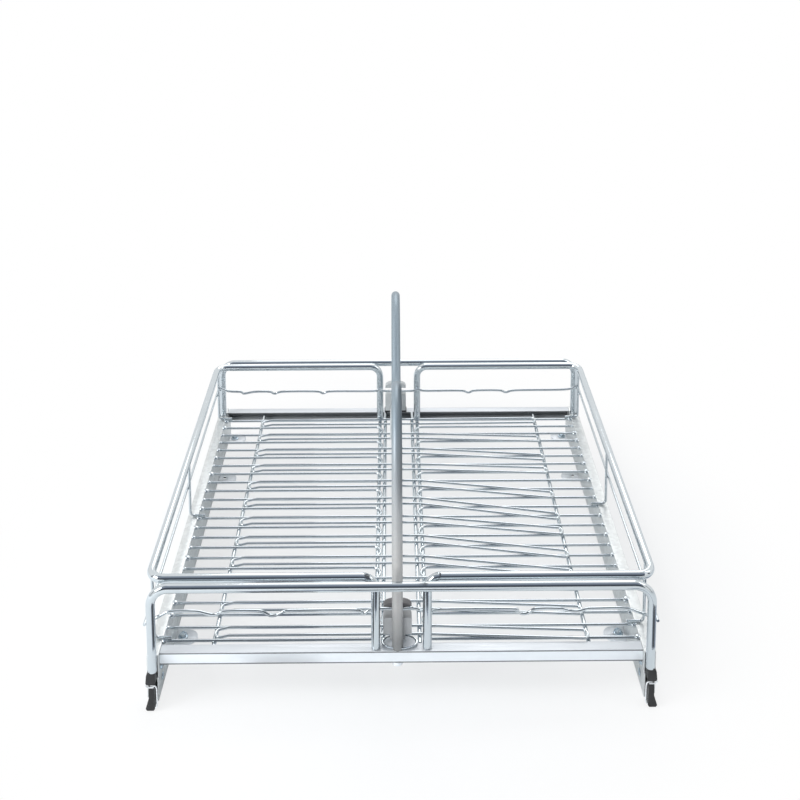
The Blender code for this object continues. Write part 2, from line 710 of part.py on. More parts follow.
def cross_bar(name, place, way):
    """A pressed channel between the rails, with the web on the drawer's outside."""
    mesh_data = bmesh.new()
    ends = []
    for side in (-1, 1):
        outline = channel_outline(BAR_DEPTH, BAR_HEIGHT, SHEET, way)
        ends.append([
            mesh_data.verts.new((side * FLOOR_END_X, at(place) + y, BAR_BOTTOM + z))
            for y, z in outline
        ])
        mesh_data.faces.new(ends[-1])
    bridge(mesh_data, *ends)
    bar = new_object(name, mesh_data)
    hole = PIN_HOLE if way < 0 else SPIGOT + STEM_CLEARANCE
    reach = BAR_HEIGHT + OVERRUN
    profile = ((hole / 2, -OVERRUN), (hole / 2, reach))
    hole_place = place if way < 0 else FRONT_ROD_END
    drill = turned("drill", profile, SMALL_STEPS, (DIVIDER_X, at(hole_place), BAR_BOTTOM))
    return finish(cut(bar, drill), "zinc")


def fixed_rail(side, name):
    """A C section on the cabinet's floor, with its web inwards and a gap for the roller."""
    web, bottom = FIXED_WEB_X, FIXED_BOTTOM
    outline = (
        (web, bottom), (FIXED_FLANGE_X, bottom), (FIXED_FLANGE_X, bottom + SHEET),
        (web + SHEET, bottom + SHEET), (web + SHEET, FIXED_TOP - SHEET),
        (FIXED_TOP_FLANGE_X, FIXED_TOP - SHEET), (FIXED_TOP_FLANGE_X, FIXED_TOP), (web, FIXED_TOP),
    )
    start, end = at(FIXED_RAIL_FRONT), at(FIXED_RAIL_REAR)
    rail = extrusion(name, [(side * x, z) for x, z in outline], start, end)
    hole = AXLE_HOLE / 2
    profile = ((hole, -OVERRUN), (hole, OVERRUN))
    centre = (side * web, at(FRONT_ROLLER), FRONT_ROLLER_HEIGHT)
    drill = turned("drill", profile, SMALL_STEPS, centre, "X")
    return finish(cut(rail, drill), "rail_steel")


def moving_rail(side, name):
    """A hat section over the fixed rail, with the flange that runs on the front roller."""
    inner, outer, web = RAIL_INNER_X, RAIL_OUTER_X, MOVING_WEB_X
    outline = (
        (inner, RAIL_LIP_BOTTOM), (inner, RAIL_TOP), (outer, RAIL_TOP), (outer, RAIL_WEB_BOTTOM),
        (web, RAIL_WEB_BOTTOM), (web, RUNNING_FLANGE_BOTTOM),
        (RUNNING_FLANGE_X, RUNNING_FLANGE_BOTTOM), (RUNNING_FLANGE_X, RUNNING_FLANGE_TOP),
        (web, RUNNING_FLANGE_TOP), (web, RAIL_TOP - SHEET), (inner + SHEET, RAIL_TOP - SHEET),
        (inner + SHEET, RAIL_LIP_BOTTOM),
    )
    start, end = at(MOVING_RAIL_FRONT), at(MOVING_RAIL_REAR)
    rail = extrusion(name, [(side * x, z) for x, z in outline], start, end)
    holes = (
        (AXLE_HOLE, outer, REAR_ROLLER, REAR_ROLLER_HEIGHT),
        (RAIL_SCREW_SHANK + SCREW_CLEARANCE, inner, RAIL_SCREW_SETBACK, RAIL_SCREW_HEIGHT),
    )
    drills = []
    for diameter, x, place, height in holes:
        profile = ((diameter / 2, -OVERRUN), (diameter / 2, OVERRUN))
        drills.append(turned("drill", profile, SMALL_STEPS, (side * x, at(place), height), "X"))
    cutters = [post_notch(side)]
    return finish(cut(rail, *drills, *cutters), "rail_steel")


def post_notch(side):
    """The room for a rear handle leg, through the top flange and the inner lip."""
    half = HANDLE_WIRE / 2 + GAP
    xs = sorted((side * (RAIL_INNER_X - OVERRUN), side * (HANDLE_X + half)))
    low = (xs[0], at(REAR_HANDLE) - half, HANDLE_FOOT_HEIGHT - GAP)
    high = (xs[1], at(REAR_HANDLE) + half, RAIL_TOP + OVERRUN)
    return box("notch", low, high)


def roller(side, name, place, height):
    """A grooved nylon wheel that turns on its axle."""
    rim_radius = ROLLER_DIAMETER / 2
    low = rim_radius - ROLLER_GROOVE
    width = ROLLER_WIDTH
    bore = ROLLER_BORE / 2
    half = width / 2
    profile = (
        (bore, -half), (low, -half), (rim_radius, -half / 2), (rim_radius, half / 2),
        (low, half), (bore, half), (bore, -half),
    )
    centre = (side * (ROLLER_INNER_X + half), at(place), height)
    wheel = turned(name, profile, ROUND_STEPS, centre, "X")
    return put_origin(finish(wheel, "white_plastic"), centre)


def axle(side, name, place, height, head_x, rivet_x, outward):
    """A riveted pin: a thin head inside the rail and a domed head outside its wall."""
    shank = AXLE_DIAMETER / 2
    head = AXLE_HEAD / 2
    length = side * (head_x - rivet_x)
    under_head = length - side * outward * AXLE_HEAD_THICKNESS
    rivet_top = -side * outward * RIVET_HEAD_THICKNESS
    profile = (
        (0, length), (head, length), (head, under_head), (shank, under_head), (shank, 0),
        (head, 0), (head * RIVET_TOP_SHARE, rivet_top), (0, rivet_top),
    )
    pin = turned(name, profile, SMALL_STEPS, (side * rivet_x, at(place), height), "X")
    return finish(pin, "zinc")


# End caps, feet and fasteners


def fixed_cap(side, name):
    """The black plug in the front end of a fixed rail, with its tongue in the channel."""
    top = RUNNING_FLANGE_BOTTOM - GAP
    inner, outer = FIXED_WEB_X, MOVING_WEB_X - GAP
    low, high = CAP_BOTTOM, CAP_ROUND
    outline = (
        (inner + high, low), (CAP_LIP_X - high, low), (CAP_LIP_X, low + high),
        (CAP_LIP_X, CAP_LIP_TOP), (outer, CAP_LIP_TOP), (outer, top), (inner + high, top),
        (inner, top - high), (inner, low + high),
    )
    start, end = at(FRONT_END), at(FIXED_RAIL_FRONT) - GAP
    plug = extrusion(name, [(side * x, z) for x, z in outline], start, end)
    low_corner = (FIXED_WEB_X + SHEET + GAP, FIXED_BOTTOM + SHEET + GAP)
    high_corner = (FIXED_FLANGE_X, RUNNING_FLANGE_BOTTOM - GAP - CAP_ROUND)
    xs = sorted((side * low_corner[0], side * high_corner[0]))
    tongue = box(
        "tongue",
        (xs[0], end - CAP_ROUND, low_corner[1]),
        (xs[1], at(FIXED_RAIL_FRONT) + CAP_TONGUE, high_corner[1]),
    )
    return finish(combine(plug, [tongue], "UNION"), "black_plastic")


def moving_cap(side, name):
    """The black block under a front handle leg, with its tongue inside the moving rail."""
    inner, outer, low, high = BLOCK_INNER_X, BLOCK_OUTER_X, BLOCK_BOTTOM, CAP_ROUND
    top = HANDLE_FOOT_HEIGHT - GAP
    outline = (
        (inner + high, low), (outer - high, low), (outer, low + high), (outer, top - high),
        (outer - high, top), (inner + high, top), (inner, top - high), (inner, low + high),
    )
    start, end = at(FRONT_END), at(MOVING_RAIL_FRONT) - GAP
    block = extrusion(name, [(side * x, z) for x, z in outline], start, end)
    xs = sorted((side * (RAIL_INNER_X + SHEET + GAP), side * (MOVING_WEB_X - GAP)))
    tongue = box(
        "tongue",
        (xs[0], end - CAP_ROUND, RAIL_LIP_BOTTOM + GAP),
        (xs[1], at(MOVING_RAIL_FRONT) + BLOCK_TONGUE, BLOCK_TONGUE_TOP),
    )
    relief = box(
        "relief",
        (xs[0] - OVERRUN, start - OVERRUN, top),
        (xs[1] + OVERRUN, end + GAP, BLOCK_TONGUE_TOP + OVERRUN),
    )
    block = cut(combine(block, [tongue], "UNION"), relief)
    bore = (RAIL_SCREW_SHANK + 2 * GAP) / 2
    depth = RAIL_SCREW_LENGTH + GAP
    profile = ((bore, -side * OVERRUN), (bore, side * depth))
    centre = (side * RAIL_INNER_X, at(RAIL_SCREW_SETBACK), RAIL_SCREW_HEIGHT)
    return finish(cut(block, turned("bore", profile, SMALL_STEPS, centre, "X")), "black_plastic")


def rail_screw(side, name):
    """A pan-head screw through the moving rail's inner lip, into the cap's tongue."""
    head, shank = RAIL_SCREW_HEAD / 2, RAIL_SCREW_SHANK / 2
    height = RAIL_SCREW_HEAD_HEIGHT
    profile = (
        (0, -side * (height + GAP)), (head * RAIL_SCREW_TOP_SHARE, -side * (height + GAP)),
        (head, -side * (height / 2 + GAP)), (head, -side * GAP), (shank, -side * GAP),
        (shank, side * (RAIL_SCREW_LENGTH - GAP)), (0, side * (RAIL_SCREW_LENGTH - GAP)),
    )
    centre = (side * RAIL_INNER_X, at(RAIL_SCREW_SETBACK), RAIL_SCREW_HEIGHT)
    return finish(turned(name, profile, SMALL_STEPS, centre, "X"), "zinc")


def foot_place(share):
    return FIXED_RAIL_FRONT + share * (FIXED_RAIL_REAR - FIXED_RAIL_FRONT)


def foot(side, name, share):
    """A flat tab under a fixed rail, round at its inner end, with a screw hole."""
    radius = FOOT_WIDTH / 2
    y = at(foot_place(share))
    outline = [(side * FOOT_OUTER_X, y - radius)]
    for step in range(2 * BEND_STEPS + 1):
        angle = math.pi * step / (2 * BEND_STEPS)
        x = FOOT_INNER_X + radius - radius * math.sin(angle)
        outline.append((side * x, y - radius * math.cos(angle)))
    outline.append((side * FOOT_OUTER_X, y + radius))
    plate = slab(name, outline, 0, FOOT_THICKNESS)
    profile = ((FOOT_HOLE / 2, -OVERRUN), (FOOT_HOLE / 2, OVERRUN))
    drill = turned("drill", profile, SMALL_STEPS, (side * FOOT_HOLE_X, y, 0))
    return finish(cut(plate, drill), "zinc")


def foot_bolt(side, name, share):
    """A flanged hexagon screw in a foot; its thread ends flush with the floor."""
    centre = (side * FOOT_HOLE_X, at(foot_place(share)), FOOT_THICKNESS + GAP)
    shank, flange = FOOT_BOLT_SHANK / 2, FOOT_BOLT_FLANGE / 2
    thickness = FOOT_BOLT_FLANGE_THICKNESS
    profile = (
        (0, -FOOT_THICKNESS), (shank, -FOOT_THICKNESS), (shank, 0), (flange, 0),
        (flange, thickness / 2), (flange * FOOT_BOLT_SLOPE_SHARE, thickness), (0, thickness),
    )
    bolt = turned(name, profile, SMALL_STEPS, centre)
    hexagon = FOOT_BOLT_HEX / 2
    top = FOOT_BOLT_HEAD_HEIGHT
    head_profile = (
        (0, thickness / 2), (hexagon, thickness / 2), (hexagon, top * HEX_CHAMFER_HEIGHT_SHARE),
        (hexagon * HEX_CHAMFER_WIDTH_SHARE, top), (0, top),
    )
    head = turned("head", head_profile, HEX_SIDES, centre)
    return finish(combine(bolt, [head], "UNION"), "zinc")


# Divider


def rod_points(shares, half_span, foot, rise):
    """The M shape in the centre plane, from the front foot to the rear foot."""
    front = [(at(ROD_CENTRE - along * half_span), foot + up * rise) for along, up in shares]
    rear = [(at(ROD_CENTRE + along * half_span), foot + up * rise) for along, up in shares]
    return [(DIVIDER_X, y, z) for y, z in front + rear[-2::-1]]


def outer_rod(name):
    """The tall rod; its hollow front foot slips over a spigot, its rear foot into a socket."""
    rise = OUTER_HUMP_HEIGHT - ROD_FOOT_FRONT
    points = rod_points(OUTER_ROD_SHARES, OUTER_HALF_SPAN, ROD_FOOT_FRONT, rise)
    points[-1] = (DIVIDER_X, at(REAR_ROD_END), ROD_FOOT_SOCKET)
    rod = wire(name, smooth_path(points, 1), DIVIDER_WIRE, THICK_SIDES)
    bore = SPIGOT_BORE / 2
    profile = ((bore, -OVERRUN), (bore, SPIGOT_REACH + GAP))
    centre = (DIVIDER_X, at(FRONT_ROD_END), ROD_FOOT_FRONT)
    return finish(cut(rod, turned("bore", profile, THICK_SIDES, centre)), "rod_coating")


def inner_rod(name):
    """The low rod, whose two feet stand in the sockets of the divider feet."""
    rise = (OUTER_HUMP_HEIGHT - ROD_FOOT_FRONT) * INNER_HEIGHT_SHARE
    points = rod_points(INNER_ROD_SHARES, INNER_HALF_SPAN, ROD_FOOT_SOCKET, rise)
    return finish(wire(name, smooth_path(points, 1), DIVIDER_WIRE, THICK_SIDES), "rod_coating")


def spigot(name):
    """The bolt under the front bar, whose smooth end stands up and holds the outer rod."""
    shank, head = SPIGOT / 2, SPIGOT_HEAD / 2
    bottom = BAR_BOTTOM - GAP
    top = ROD_FOOT_FRONT + SPIGOT_REACH
    profile = (
        (0, -SPIGOT_HEAD_HEIGHT), (head * SPIGOT_HEAD_SHARE, -SPIGOT_HEAD_HEIGHT),
        (head, -SPIGOT_HEAD_HEIGHT / 2), (head, 0), (shank, 0), (shank, top - bottom - shank / 2),
        (shank / 2, top - bottom), (0, top - bottom),
    )
    centre = (DIVIDER_X, at(FRONT_ROD_END), bottom)
    return finish(turned(name, profile, SMALL_STEPS, centre), "zinc")


def tower_outline(bottom):
    """The face of a divider foot: a block with rounded shoulders."""
    half, top, r = TOWER_WIDTH / 2, TOWER_TOP, TOWER_TOP_ROUND
    points = [(-half, bottom), (half, bottom)]
    for sign in (1, -1):
        turn = []
        for step in range(TOWER_TOP_STEPS + 1):
            angle = math.pi / 2 * step / TOWER_TOP_STEPS
            turn.append((sign * (half - r + r * math.cos(angle)), top - r + r * math.sin(angle)))
        points += turn if sign > 0 else turn[::-1]
    return [(DIVIDER_X + x, z) for x, z in points]


def divider_foot(name, tower_place, bottom, tongue_end, sockets):
    """A moulded foot: a tower that guides the lock pin, and a tongue with rod sockets."""
    start, end = at(tower_place - TOWER_DEPTH / 2), at(tower_place + TOWER_DEPTH / 2)
    block = extrusion(name, tower_outline(bottom), start, end)
    half = TONGUE_WIDTH / 2
    low_y, high_y = min(start, at(tongue_end)), max(end, at(tongue_end))
    low = (DIVIDER_X - half, low_y, TONGUE_BOTTOM)
    tongue = box("tongue", low, (DIVIDER_X + half, high_y, TONGUE_TOP))
    block = combine(block, [tongue], "UNION")
    stem = PIN_HOLE / 2
    wide = SPRING_BORE / 2
    ceiling = TOWER_TOP - SPRING_CEILING
    profile = (
        (0, TONGUE_BOTTOM - OVERRUN), (wide, TONGUE_BOTTOM - OVERRUN), (wide, ceiling),
        (stem, ceiling), (stem, TOWER_TOP + OVERRUN), (0, TOWER_TOP + OVERRUN),
    )
    cutters = [turned("bore", profile, SMALL_STEPS, (DIVIDER_X, at(tower_place), 0))]
    socket = DIVIDER_WIRE / 2 + SOCKET_CLEARANCE
    for place in sockets:
        floor = TONGUE_BOTTOM + SOCKET_FLOOR
        well = ((socket, floor), (socket, TONGUE_TOP + OVERRUN))
        cutters.append(turned("socket", well, ROUND_STEPS, (DIVIDER_X, at(place), 0)))
    return finish(cut(block, *cutters), "grey_plastic")


def saddle(name):
    """The oval chromed plate round the outer rod's foot, with a slot for the lock pin."""
    oval = ellipse((SADDLE_X, at(SADDLE_PLACE)), SADDLE_WIDTH / 2, SADDLE_DEPTH / 2, OVAL_STEPS)
    plate = slab(name, oval, SADDLE_BOTTOM, SADDLE_TOP)
    low, high = SADDLE_BOTTOM - OVERRUN, SADDLE_TOP + OVERRUN
    rod_hole, pin_hole = DIVIDER_WIRE / 2 + ROD_CLEARANCE, PIN_HOLE / 2
    rod_profile = ((rod_hole, low), (rod_hole, high))
    rod_notch = turned("notch", rod_profile, ROUND_STEPS, (DIVIDER_X, at(FRONT_ROD_END), 0))
    pin_profile = ((pin_hole, low), (pin_hole, high))
    pin_notch = turned("notch", pin_profile, SMALL_STEPS, (DIVIDER_X, at(FRONT_TOWER), 0))
    slot_end = at(SADDLE_PLACE + SADDLE_DEPTH)
    slot_low = (DIVIDER_X - pin_hole, at(FRONT_TOWER), low)
    slot = box("slot", slot_low, (DIVIDER_X + pin_hole, slot_end, high))
    return finish(cut(plate, rod_notch, pin_notch, slot), "chrome")


def pad(name, place):
    """The black pad between the rear divider foot and the rear bar."""
    half_x, half_y = TOWER_WIDTH / 2 + PAD_MARGIN, TOWER_DEPTH / 2
    low = (DIVIDER_X - half_x, at(place) - half_y, BAR_TOP + GAP)
    high = (DIVIDER_X + half_x, at(place) + half_y, BAR_TOP + GAP + PAD_THICKNESS)
    base = box(name, low, high)
    hole = PIN_HOLE / 2
    profile = ((hole, BAR_BOTTOM), (hole, RAIL_TOP + PAD_THICKNESS + OVERRUN))
    drill = turned("drill", profile, SMALL_STEPS, (DIVIDER_X, at(place), 0))
    return finish(cut(base, drill), "black_plastic")


def knob_outline():
    """The face of the pull knob: a flat-bottomed mushroom cap."""
    half, height, edge = KNOB_WIDTH / 2, KNOB_HEIGHT, KNOB_EDGE
    points = [(-half, 0), (half, 0)]
    steps = 2 * BEND_STEPS
    for step in range(steps + 1):
        angle = math.pi * step / steps
        points.append((half * math.cos(angle), edge + (height - edge) * math.sin(angle)))
    return [(DIVIDER_X + x, KNOB_BOTTOM + z) for x, z in points]


def knob(name, place, pin_bottom):
    """The pull knob with its stem, the collar that presses the spring, and the lock pin."""
    half = KNOB_THICKNESS / 2
    cap = extrusion(name, knob_outline(), at(place) - half, at(place) + half)
    radius, collar = STEM / 2, COLLAR / 2
    low, high = COLLAR_HEIGHT, COLLAR_HEIGHT + COLLAR_THICKNESS
    profile = (
        (0, pin_bottom), (radius, pin_bottom), (radius, low), (collar, low), (collar, high),
        (radius, high), (radius, KNOB_BOTTOM + KNOB_EDGE), (0, KNOB_BOTTOM + KNOB_EDGE),
    )
    stem = turned("stem", profile, SMALL_STEPS, (DIVIDER_X, at(place), 0))
    piece = finish(combine(cap, [stem], "UNION"), "grey_plastic")
    return put_origin(piece, (DIVIDER_X, at(place), pin_bottom))


def spring(name, place):
    """The coil between the pin's collar and the roof of the foot's bore."""
    radius = (SPRING_BORE + STEM) / 2 / 2
    low, high = SPRING_BOTTOM + SPRING_WIRE / 2, SPRING_TOP - SPRING_WIRE / 2
    count = SPRING_TURNS * SPRING_POINTS
    points = []
    for step in range(count + 1):
        angle = 2 * math.pi * step / SPRING_POINTS
        x, y = DIVIDER_X + radius * math.cos(angle), at(place) + radius * math.sin(angle)
        points.append((x, y, low + (high - low) * step / count))
    return finish(wire(name, points, SPRING_WIRE, SPRING_SIDES), "spring_steel")


def build():
    for old in list(bpy.data.objects):
        bpy.data.objects.remove(old)

    sides = ((-1, "left"), (1, "right"))
    for side, word in sides:
        rim(side, word + "_rim")
        floor_mat(side, word + "_floor_mat")
        fixed_rail(side, word + "_fixed_rail")
        moving_rail(side, word + "_moving_rail")
        fixed_cap(side, word + "_fixed_rail_cap")
        moving_cap(side, word + "_moving_rail_cap")
        rail_screw(side, word + "_rail_screw")
        roller(side, word + "_front_roller", FRONT_ROLLER, FRONT_ROLLER_HEIGHT)
        roller(side, word + "_rear_roller", REAR_ROLLER, REAR_ROLLER_HEIGHT)
        heads = (ROLLER_INNER_X + ROLLER_WIDTH + GAP, FIXED_WEB_X - GAP)
        front_head = heads[0] + AXLE_HEAD_THICKNESS
        axle(side, word + "_front_axle", FRONT_ROLLER, FRONT_ROLLER_HEIGHT, front_head, heads[1], 1)
        rear_head = ROLLER_INNER_X - GAP - AXLE_HEAD_THICKNESS
        rear_rivet = RAIL_OUTER_X + GAP
        axle(side, word + "_rear_axle", REAR_ROLLER, REAR_ROLLER_HEIGHT, rear_head, rear_rivet, -1)
        for share, place in zip(FOOT_PLACE_SHARES, ("front", "middle", "rear")):
            foot(side, f"{word}_{place}_foot", share)
            if place != "middle":
                foot_bolt(side, f"{word}_{place}_foot_bolt", share)
    side_wires(-1, "left_side_wires", LEFT_POST_WIRES)
    side_wires(1, "right_side_wires", RIGHT_POST_WIRES)
    lane_grid("centre_floor_grid")
    handle("front_handle", FRONT_HANDLE)
    handle("rear_handle", REAR_HANDLE)
    mid_wire("front_mid_wire", FRONT_MID_WIRE, FRONT_MID_HEIGHT, FRONT_WAVE_SHARES)
    mid_wire("rear_mid_wire", REAR_MID_WIRE, REAR_MID_HEIGHT, REAR_WAVE_SHARES)
    cross_bar("front_cross_bar", FRONT_BAR, 1)
    cross_bar("rear_cross_bar", REAR_BAR, -1)

    outer_rod("outer_divider_rod")
    inner_rod("inner_divider_rod")
    spigot("outer_rod_spigot")
    inner_front = ROD_CENTRE - INNER_HALF_SPAN
    inner_rear = ROD_CENTRE + INNER_HALF_SPAN
    divider_foot(
        "front_divider_foot", FRONT_TOWER, FRONT_TOWER_BOTTOM, inner_front + TONGUE_MARGIN,
        [inner_front],
    )
    divider_foot(
        "rear_divider_foot", REAR_BAR, REAR_TOWER_BOTTOM, inner_rear - TONGUE_MARGIN,
        [inner_rear, REAR_ROD_END],
    )
    saddle("front_saddle_plate")
    pad("rear_pad", REAR_BAR)
    knob("front_lock_knob", FRONT_TOWER, SADDLE_BOTTOM)
    knob("rear_lock_knob", REAR_BAR, BAR_TOP - SHEET)
    spring("front_lock_spring", FRONT_TOWER)
    spring("rear_lock_spring", REAR_BAR)


build()
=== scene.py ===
"""Looks of a chromed wire drawer that pulls out of a kitchen cabinet on two roller rails.

It is laid out as an add-on. The operators rebuild each wire as a smooth round one, dress the
pressed and moulded pieces, and set the stage. All lengths are in metres, in the part's frame.
"""

import math

import bmesh
import bpy
from bpy.props import FloatProperty, IntProperty, PointerProperty, StringProperty
from mathutils import Matrix, Vector


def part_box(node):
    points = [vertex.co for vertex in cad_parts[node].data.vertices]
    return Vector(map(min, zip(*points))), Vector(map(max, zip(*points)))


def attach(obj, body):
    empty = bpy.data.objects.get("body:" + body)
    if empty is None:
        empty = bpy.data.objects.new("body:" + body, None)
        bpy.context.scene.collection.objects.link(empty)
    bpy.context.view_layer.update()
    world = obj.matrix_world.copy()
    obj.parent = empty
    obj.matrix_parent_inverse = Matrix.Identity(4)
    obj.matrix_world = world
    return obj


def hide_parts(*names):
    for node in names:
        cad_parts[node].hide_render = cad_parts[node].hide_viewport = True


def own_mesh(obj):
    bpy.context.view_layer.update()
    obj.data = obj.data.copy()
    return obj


bl_info = {
    "name": "Pull-out wire drawer",
    "version": (1, 0, 0),
    "blender": (4, 5, 0),
    "location": "View3D > Sidebar > Drawer",
    "description": "Builds the looks of a chromed wire drawer on roller rails",
    "category": "Add Mesh",
}

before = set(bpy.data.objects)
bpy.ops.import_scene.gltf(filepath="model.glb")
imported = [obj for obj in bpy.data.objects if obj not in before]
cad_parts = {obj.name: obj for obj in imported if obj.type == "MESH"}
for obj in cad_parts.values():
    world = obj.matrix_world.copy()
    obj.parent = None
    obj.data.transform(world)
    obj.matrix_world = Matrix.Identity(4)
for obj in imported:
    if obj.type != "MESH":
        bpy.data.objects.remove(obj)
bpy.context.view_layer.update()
DRAWER, RAILS = "drawer", "fixed_rails"
SIDES = ((-1, "left"), (1, "right"))

# Room between pieces that lie side by side, and how far a weld sinks one wire into another
GAP = 0.0003
SINK = 0.0004


# Sizes and colours that a user would change


def length(name, description, default):
    """A length in metres that a user can set."""
    return FloatProperty(
        name=name, description=description, default=default, min=0.0, max=1.0,
        unit="LENGTH", subtype="DISTANCE", precision=4,
    )


def colour(name, description, default):
    """A colour that a user can set, as an sRGB hex value."""
    return StringProperty(name=name, description=description, default=default, maxlen=7)


class DrawerSizes(bpy.types.PropertyGroup):
    """Sizes of the wires and of how they lie, where the frame doesn't give them."""

    rim_wire: length("Rim wire", "Diameter of the top rail's and the handles' rod", 0.010)
    rim_bend: length("Rim bend", "Radius of the rim's bends, at the rod's centre line", 0.0155)
    handle_bend: length("Handle bend", "Radius of the handles' bends", 0.020)
    floor_wire: length("Floor wire", "Diameter of the hairpin wires", 0.0034)
    loop_wire: length("Loop wire", "Diameter of the centre loops' wire", 0.0031)
    runner_wire: length("Runner wire", "Diameter of the lengthwise floor wires", 0.005)
    runner_x: length("Runner place", "Distance of the outer runners from the middle", 0.210)
    turn_runner_x: length("Turn runner place", "Distance of the mats' inner runners", 0.0285)
    lane_runner_x: length("Lane runner place", "Distance of the centre grid's runners", 0.0205)
    pitch: length("Wire pitch", "Distance between two floor wires", 0.0203)
    first_wire: length("First wire", "Distance of the first floor wire from the front bar", 0.0175)
    wire_count: IntProperty(name="Floor wires", description="Wires on each half", default=24)
    loop_half_width: length("Loop half width", "Half the distance between a loop's legs", 0.0065)
    post_wire: length("Side post wire", "Diameter of the thin side posts", 0.0035)
    post_bend: length("Side post bend", "Radius of the posts' lower bends", 0.006)
    mid_wire: length("Mid wire", "Diameter of the wires at mid height", 0.0034)
    front_mid_height: length("Front mid wire", "Height of the front's thin wire", 0.0985)
    rear_mid_height: length("Rear mid wire", "Height of the rear's thin wire", 0.107)
    wave_height: length("Wave height", "Height of the mid wires' waves", 0.0045)
    divider_wire: length("Divider rod", "Diameter of the divider's rods", 0.012)
    weld_spot: length("Weld spot", "Size of a resistance weld's squeezed metal", 0.0062)
    edge_wire: length("Rail edge", "Width of the bright edge at the rails' front ends", 0.0014)


class DrawerColours(bpy.types.PropertyGroup):
    """Colours of the finishes, as sRGB hex values."""

    chrome: colour("Chrome", "Bright chrome plate", "#D3DADE")
    zinc: colour("Zinc", "Blue passivated zinc plate", "#F0F5FA")
    screw: colour("Screw", "Zinc on screws, where its film is blue", "#ACC4D8")
    screw_worn: colour("Screw, worn", "Zinc on screws, where its film is thin", "#C8CDCC")
    rail: colour("Rail steel", "Rolled galvanised steel", "#DBDEDE")
    edge: colour("Cut edge", "Torn part of a sheared edge", "#D9DEE2")
    edge_bright: colour("Cut edge, bright", "Burnished part of a sheared edge", "#F2F4F5")
    rod: colour("Rod coating", "Satin grey lacquer", "#8A97A0")
    # Painted light: a lighter neutral grey low on the front legs, a painted reflection of the pale
    # floor; darkened, it is the painted shade at their feet
    rod_low_painted_light: colour("Rod coating, low", "The same lacquer low on the front legs", "#C6C3C0")
    moulding: colour("Grey moulding", "Moulded grey plastic", "#B0B2B4")
    knob: colour("Front knob", "Moulded dark grey plastic", "#6A696B")
    rear_knob: colour("Rear knob", "Moulded grey plastic", "#CED2D3")
    black: colour("Black moulding", "Moulded black plastic", "#232324")
    nylon: colour("Nylon", "Natural nylon", "#DAD8CC")
    spring: colour("Spring", "Drawn spring wire", "#8A8D90")
    floor: colour("Floor", "Pale studio floor", "#F1F4F6")
    sky: colour("Studio light", "Even light from all round", "#F3F5F8")
    dark: colour("Dark cloth", "Darkest part of the cloth behind the camera", "#4C525B")
    dim: colour("Dim cloth", "Lightest part of the cloth behind the camera", "#A3ABBA")
    card: colour("Dark card", "Dark paper that draws the uprights' stripes", "#5E6064")


def linear(hex_colour):
    """An sRGB hex value as linear red, green, blue and alpha."""
    parts = [int(hex_colour[i:i + 2], 16) / 255 for i in (1, 3, 5)]
    parts = [c / 12.92 if c <= 0.04045 else ((c + 0.055) / 1.055) ** 2.4 for c in parts]
    return (*parts, 1.0)


def shade(hex_colour, share):
    """The linear colour, darker or lighter by a share."""
    red, green, blue, alpha = linear(hex_colour)
    return (min(red * share, 1.0), min(green * share, 1.0), min(blue * share, 1.0), alpha)


# Nodes and materials

# A noise seldom leaves the middle of its range
NOISE_RANGE = {"From Min": 0.3, "From Max": 0.7}
# Cloth and paper that show their own colour, whatever light falls on them
PAPER = {
    "Base_Color": (0.0, 0.0, 0.0, 1.0), "Roughness": 1.0, "Specular_IOR_Level": 0.0,
    "Emission_Strength": 1.0,
}


def add(tree, kind, settings=None, inputs=None):
    """Adds a node with its settings. An input is a value, or the socket that feeds it."""
    node = tree.nodes.new(kind)
    for name, value in (settings or {}).items():
        setattr(node, name, value)
    for name, value in (inputs or {}).items():
        if isinstance(value, bpy.types.NodeSocket):
            tree.links.new(value, node.inputs[name])
        else:
            node.inputs[name].default_value = value
    return node


def surface(name, tones=None, gloss=None, relief=(), target="Base Color", **constants):
    """A finish whose tone, gloss and relief follow noise patterns of real sizes.

    A pattern is the size of its lumps in metres, its detail and, where it runs along the piece,
    its stretch on each axis. tones is a pattern and two colours, and gloss is a pattern and the
    roughness at its low and high end. Each row of relief, the coarsest first, is a pattern, a
    depth in metres and a strength.
    """
    material = bpy.data.materials.new(name)
    material.use_nodes = True
    tree = material.node_tree
    shader = tree.nodes["Principled BSDF"]
    for key, value in constants.items():
        shader.inputs[key.replace("_", " ")].default_value = value
    place = add(tree, "ShaderNodeTexCoord").outputs["Object"]
    patterns = {}
    for row in (tones, gloss, *relief):
        if not row or row[0] in patterns:
            continue
        size, detail, *stretch = row[0]
        spot = place
        if stretch:
            stretched = add(tree, "ShaderNodeMapping", {}, {"Vector": place, "Scale": stretch})
            spot = stretched.outputs["Vector"]
        lumps = {"Vector": spot, "Scale": 1 / size, "Detail": detail}
        patterns[row[0]] = add(tree, "ShaderNodeTexNoise", {}, lumps).outputs["Fac"]
    if tones:
        pattern, first, second = tones
        mix = {0: patterns[pattern], 6: first, 7: second}
        tone = add(tree, "ShaderNodeMix", {"data_type": "RGBA"}, mix).outputs[2]
        tree.links.new(tone, shader.inputs[target])
    if gloss:
        pattern, low, high = gloss
        span = {"Value": patterns[pattern], **NOISE_RANGE, "To Min": low, "To Max": high}
        rough = add(tree, "ShaderNodeMapRange", {}, span).outputs["Result"]
        tree.links.new(rough, shader.inputs["Roughness"])
    coarser = {}
    for pattern, depth, strength in relief:
        bump = {"Height": patterns[pattern], "Distance": depth, "Strength": strength, **coarser}
        normal = add(tree, "ShaderNodeBump", {}, bump).outputs["Normal"]
        coarser = {"Normal": normal}
    if relief:
        tree.links.new(normal, shader.inputs["Normal"])
    return material, tree, shader, place


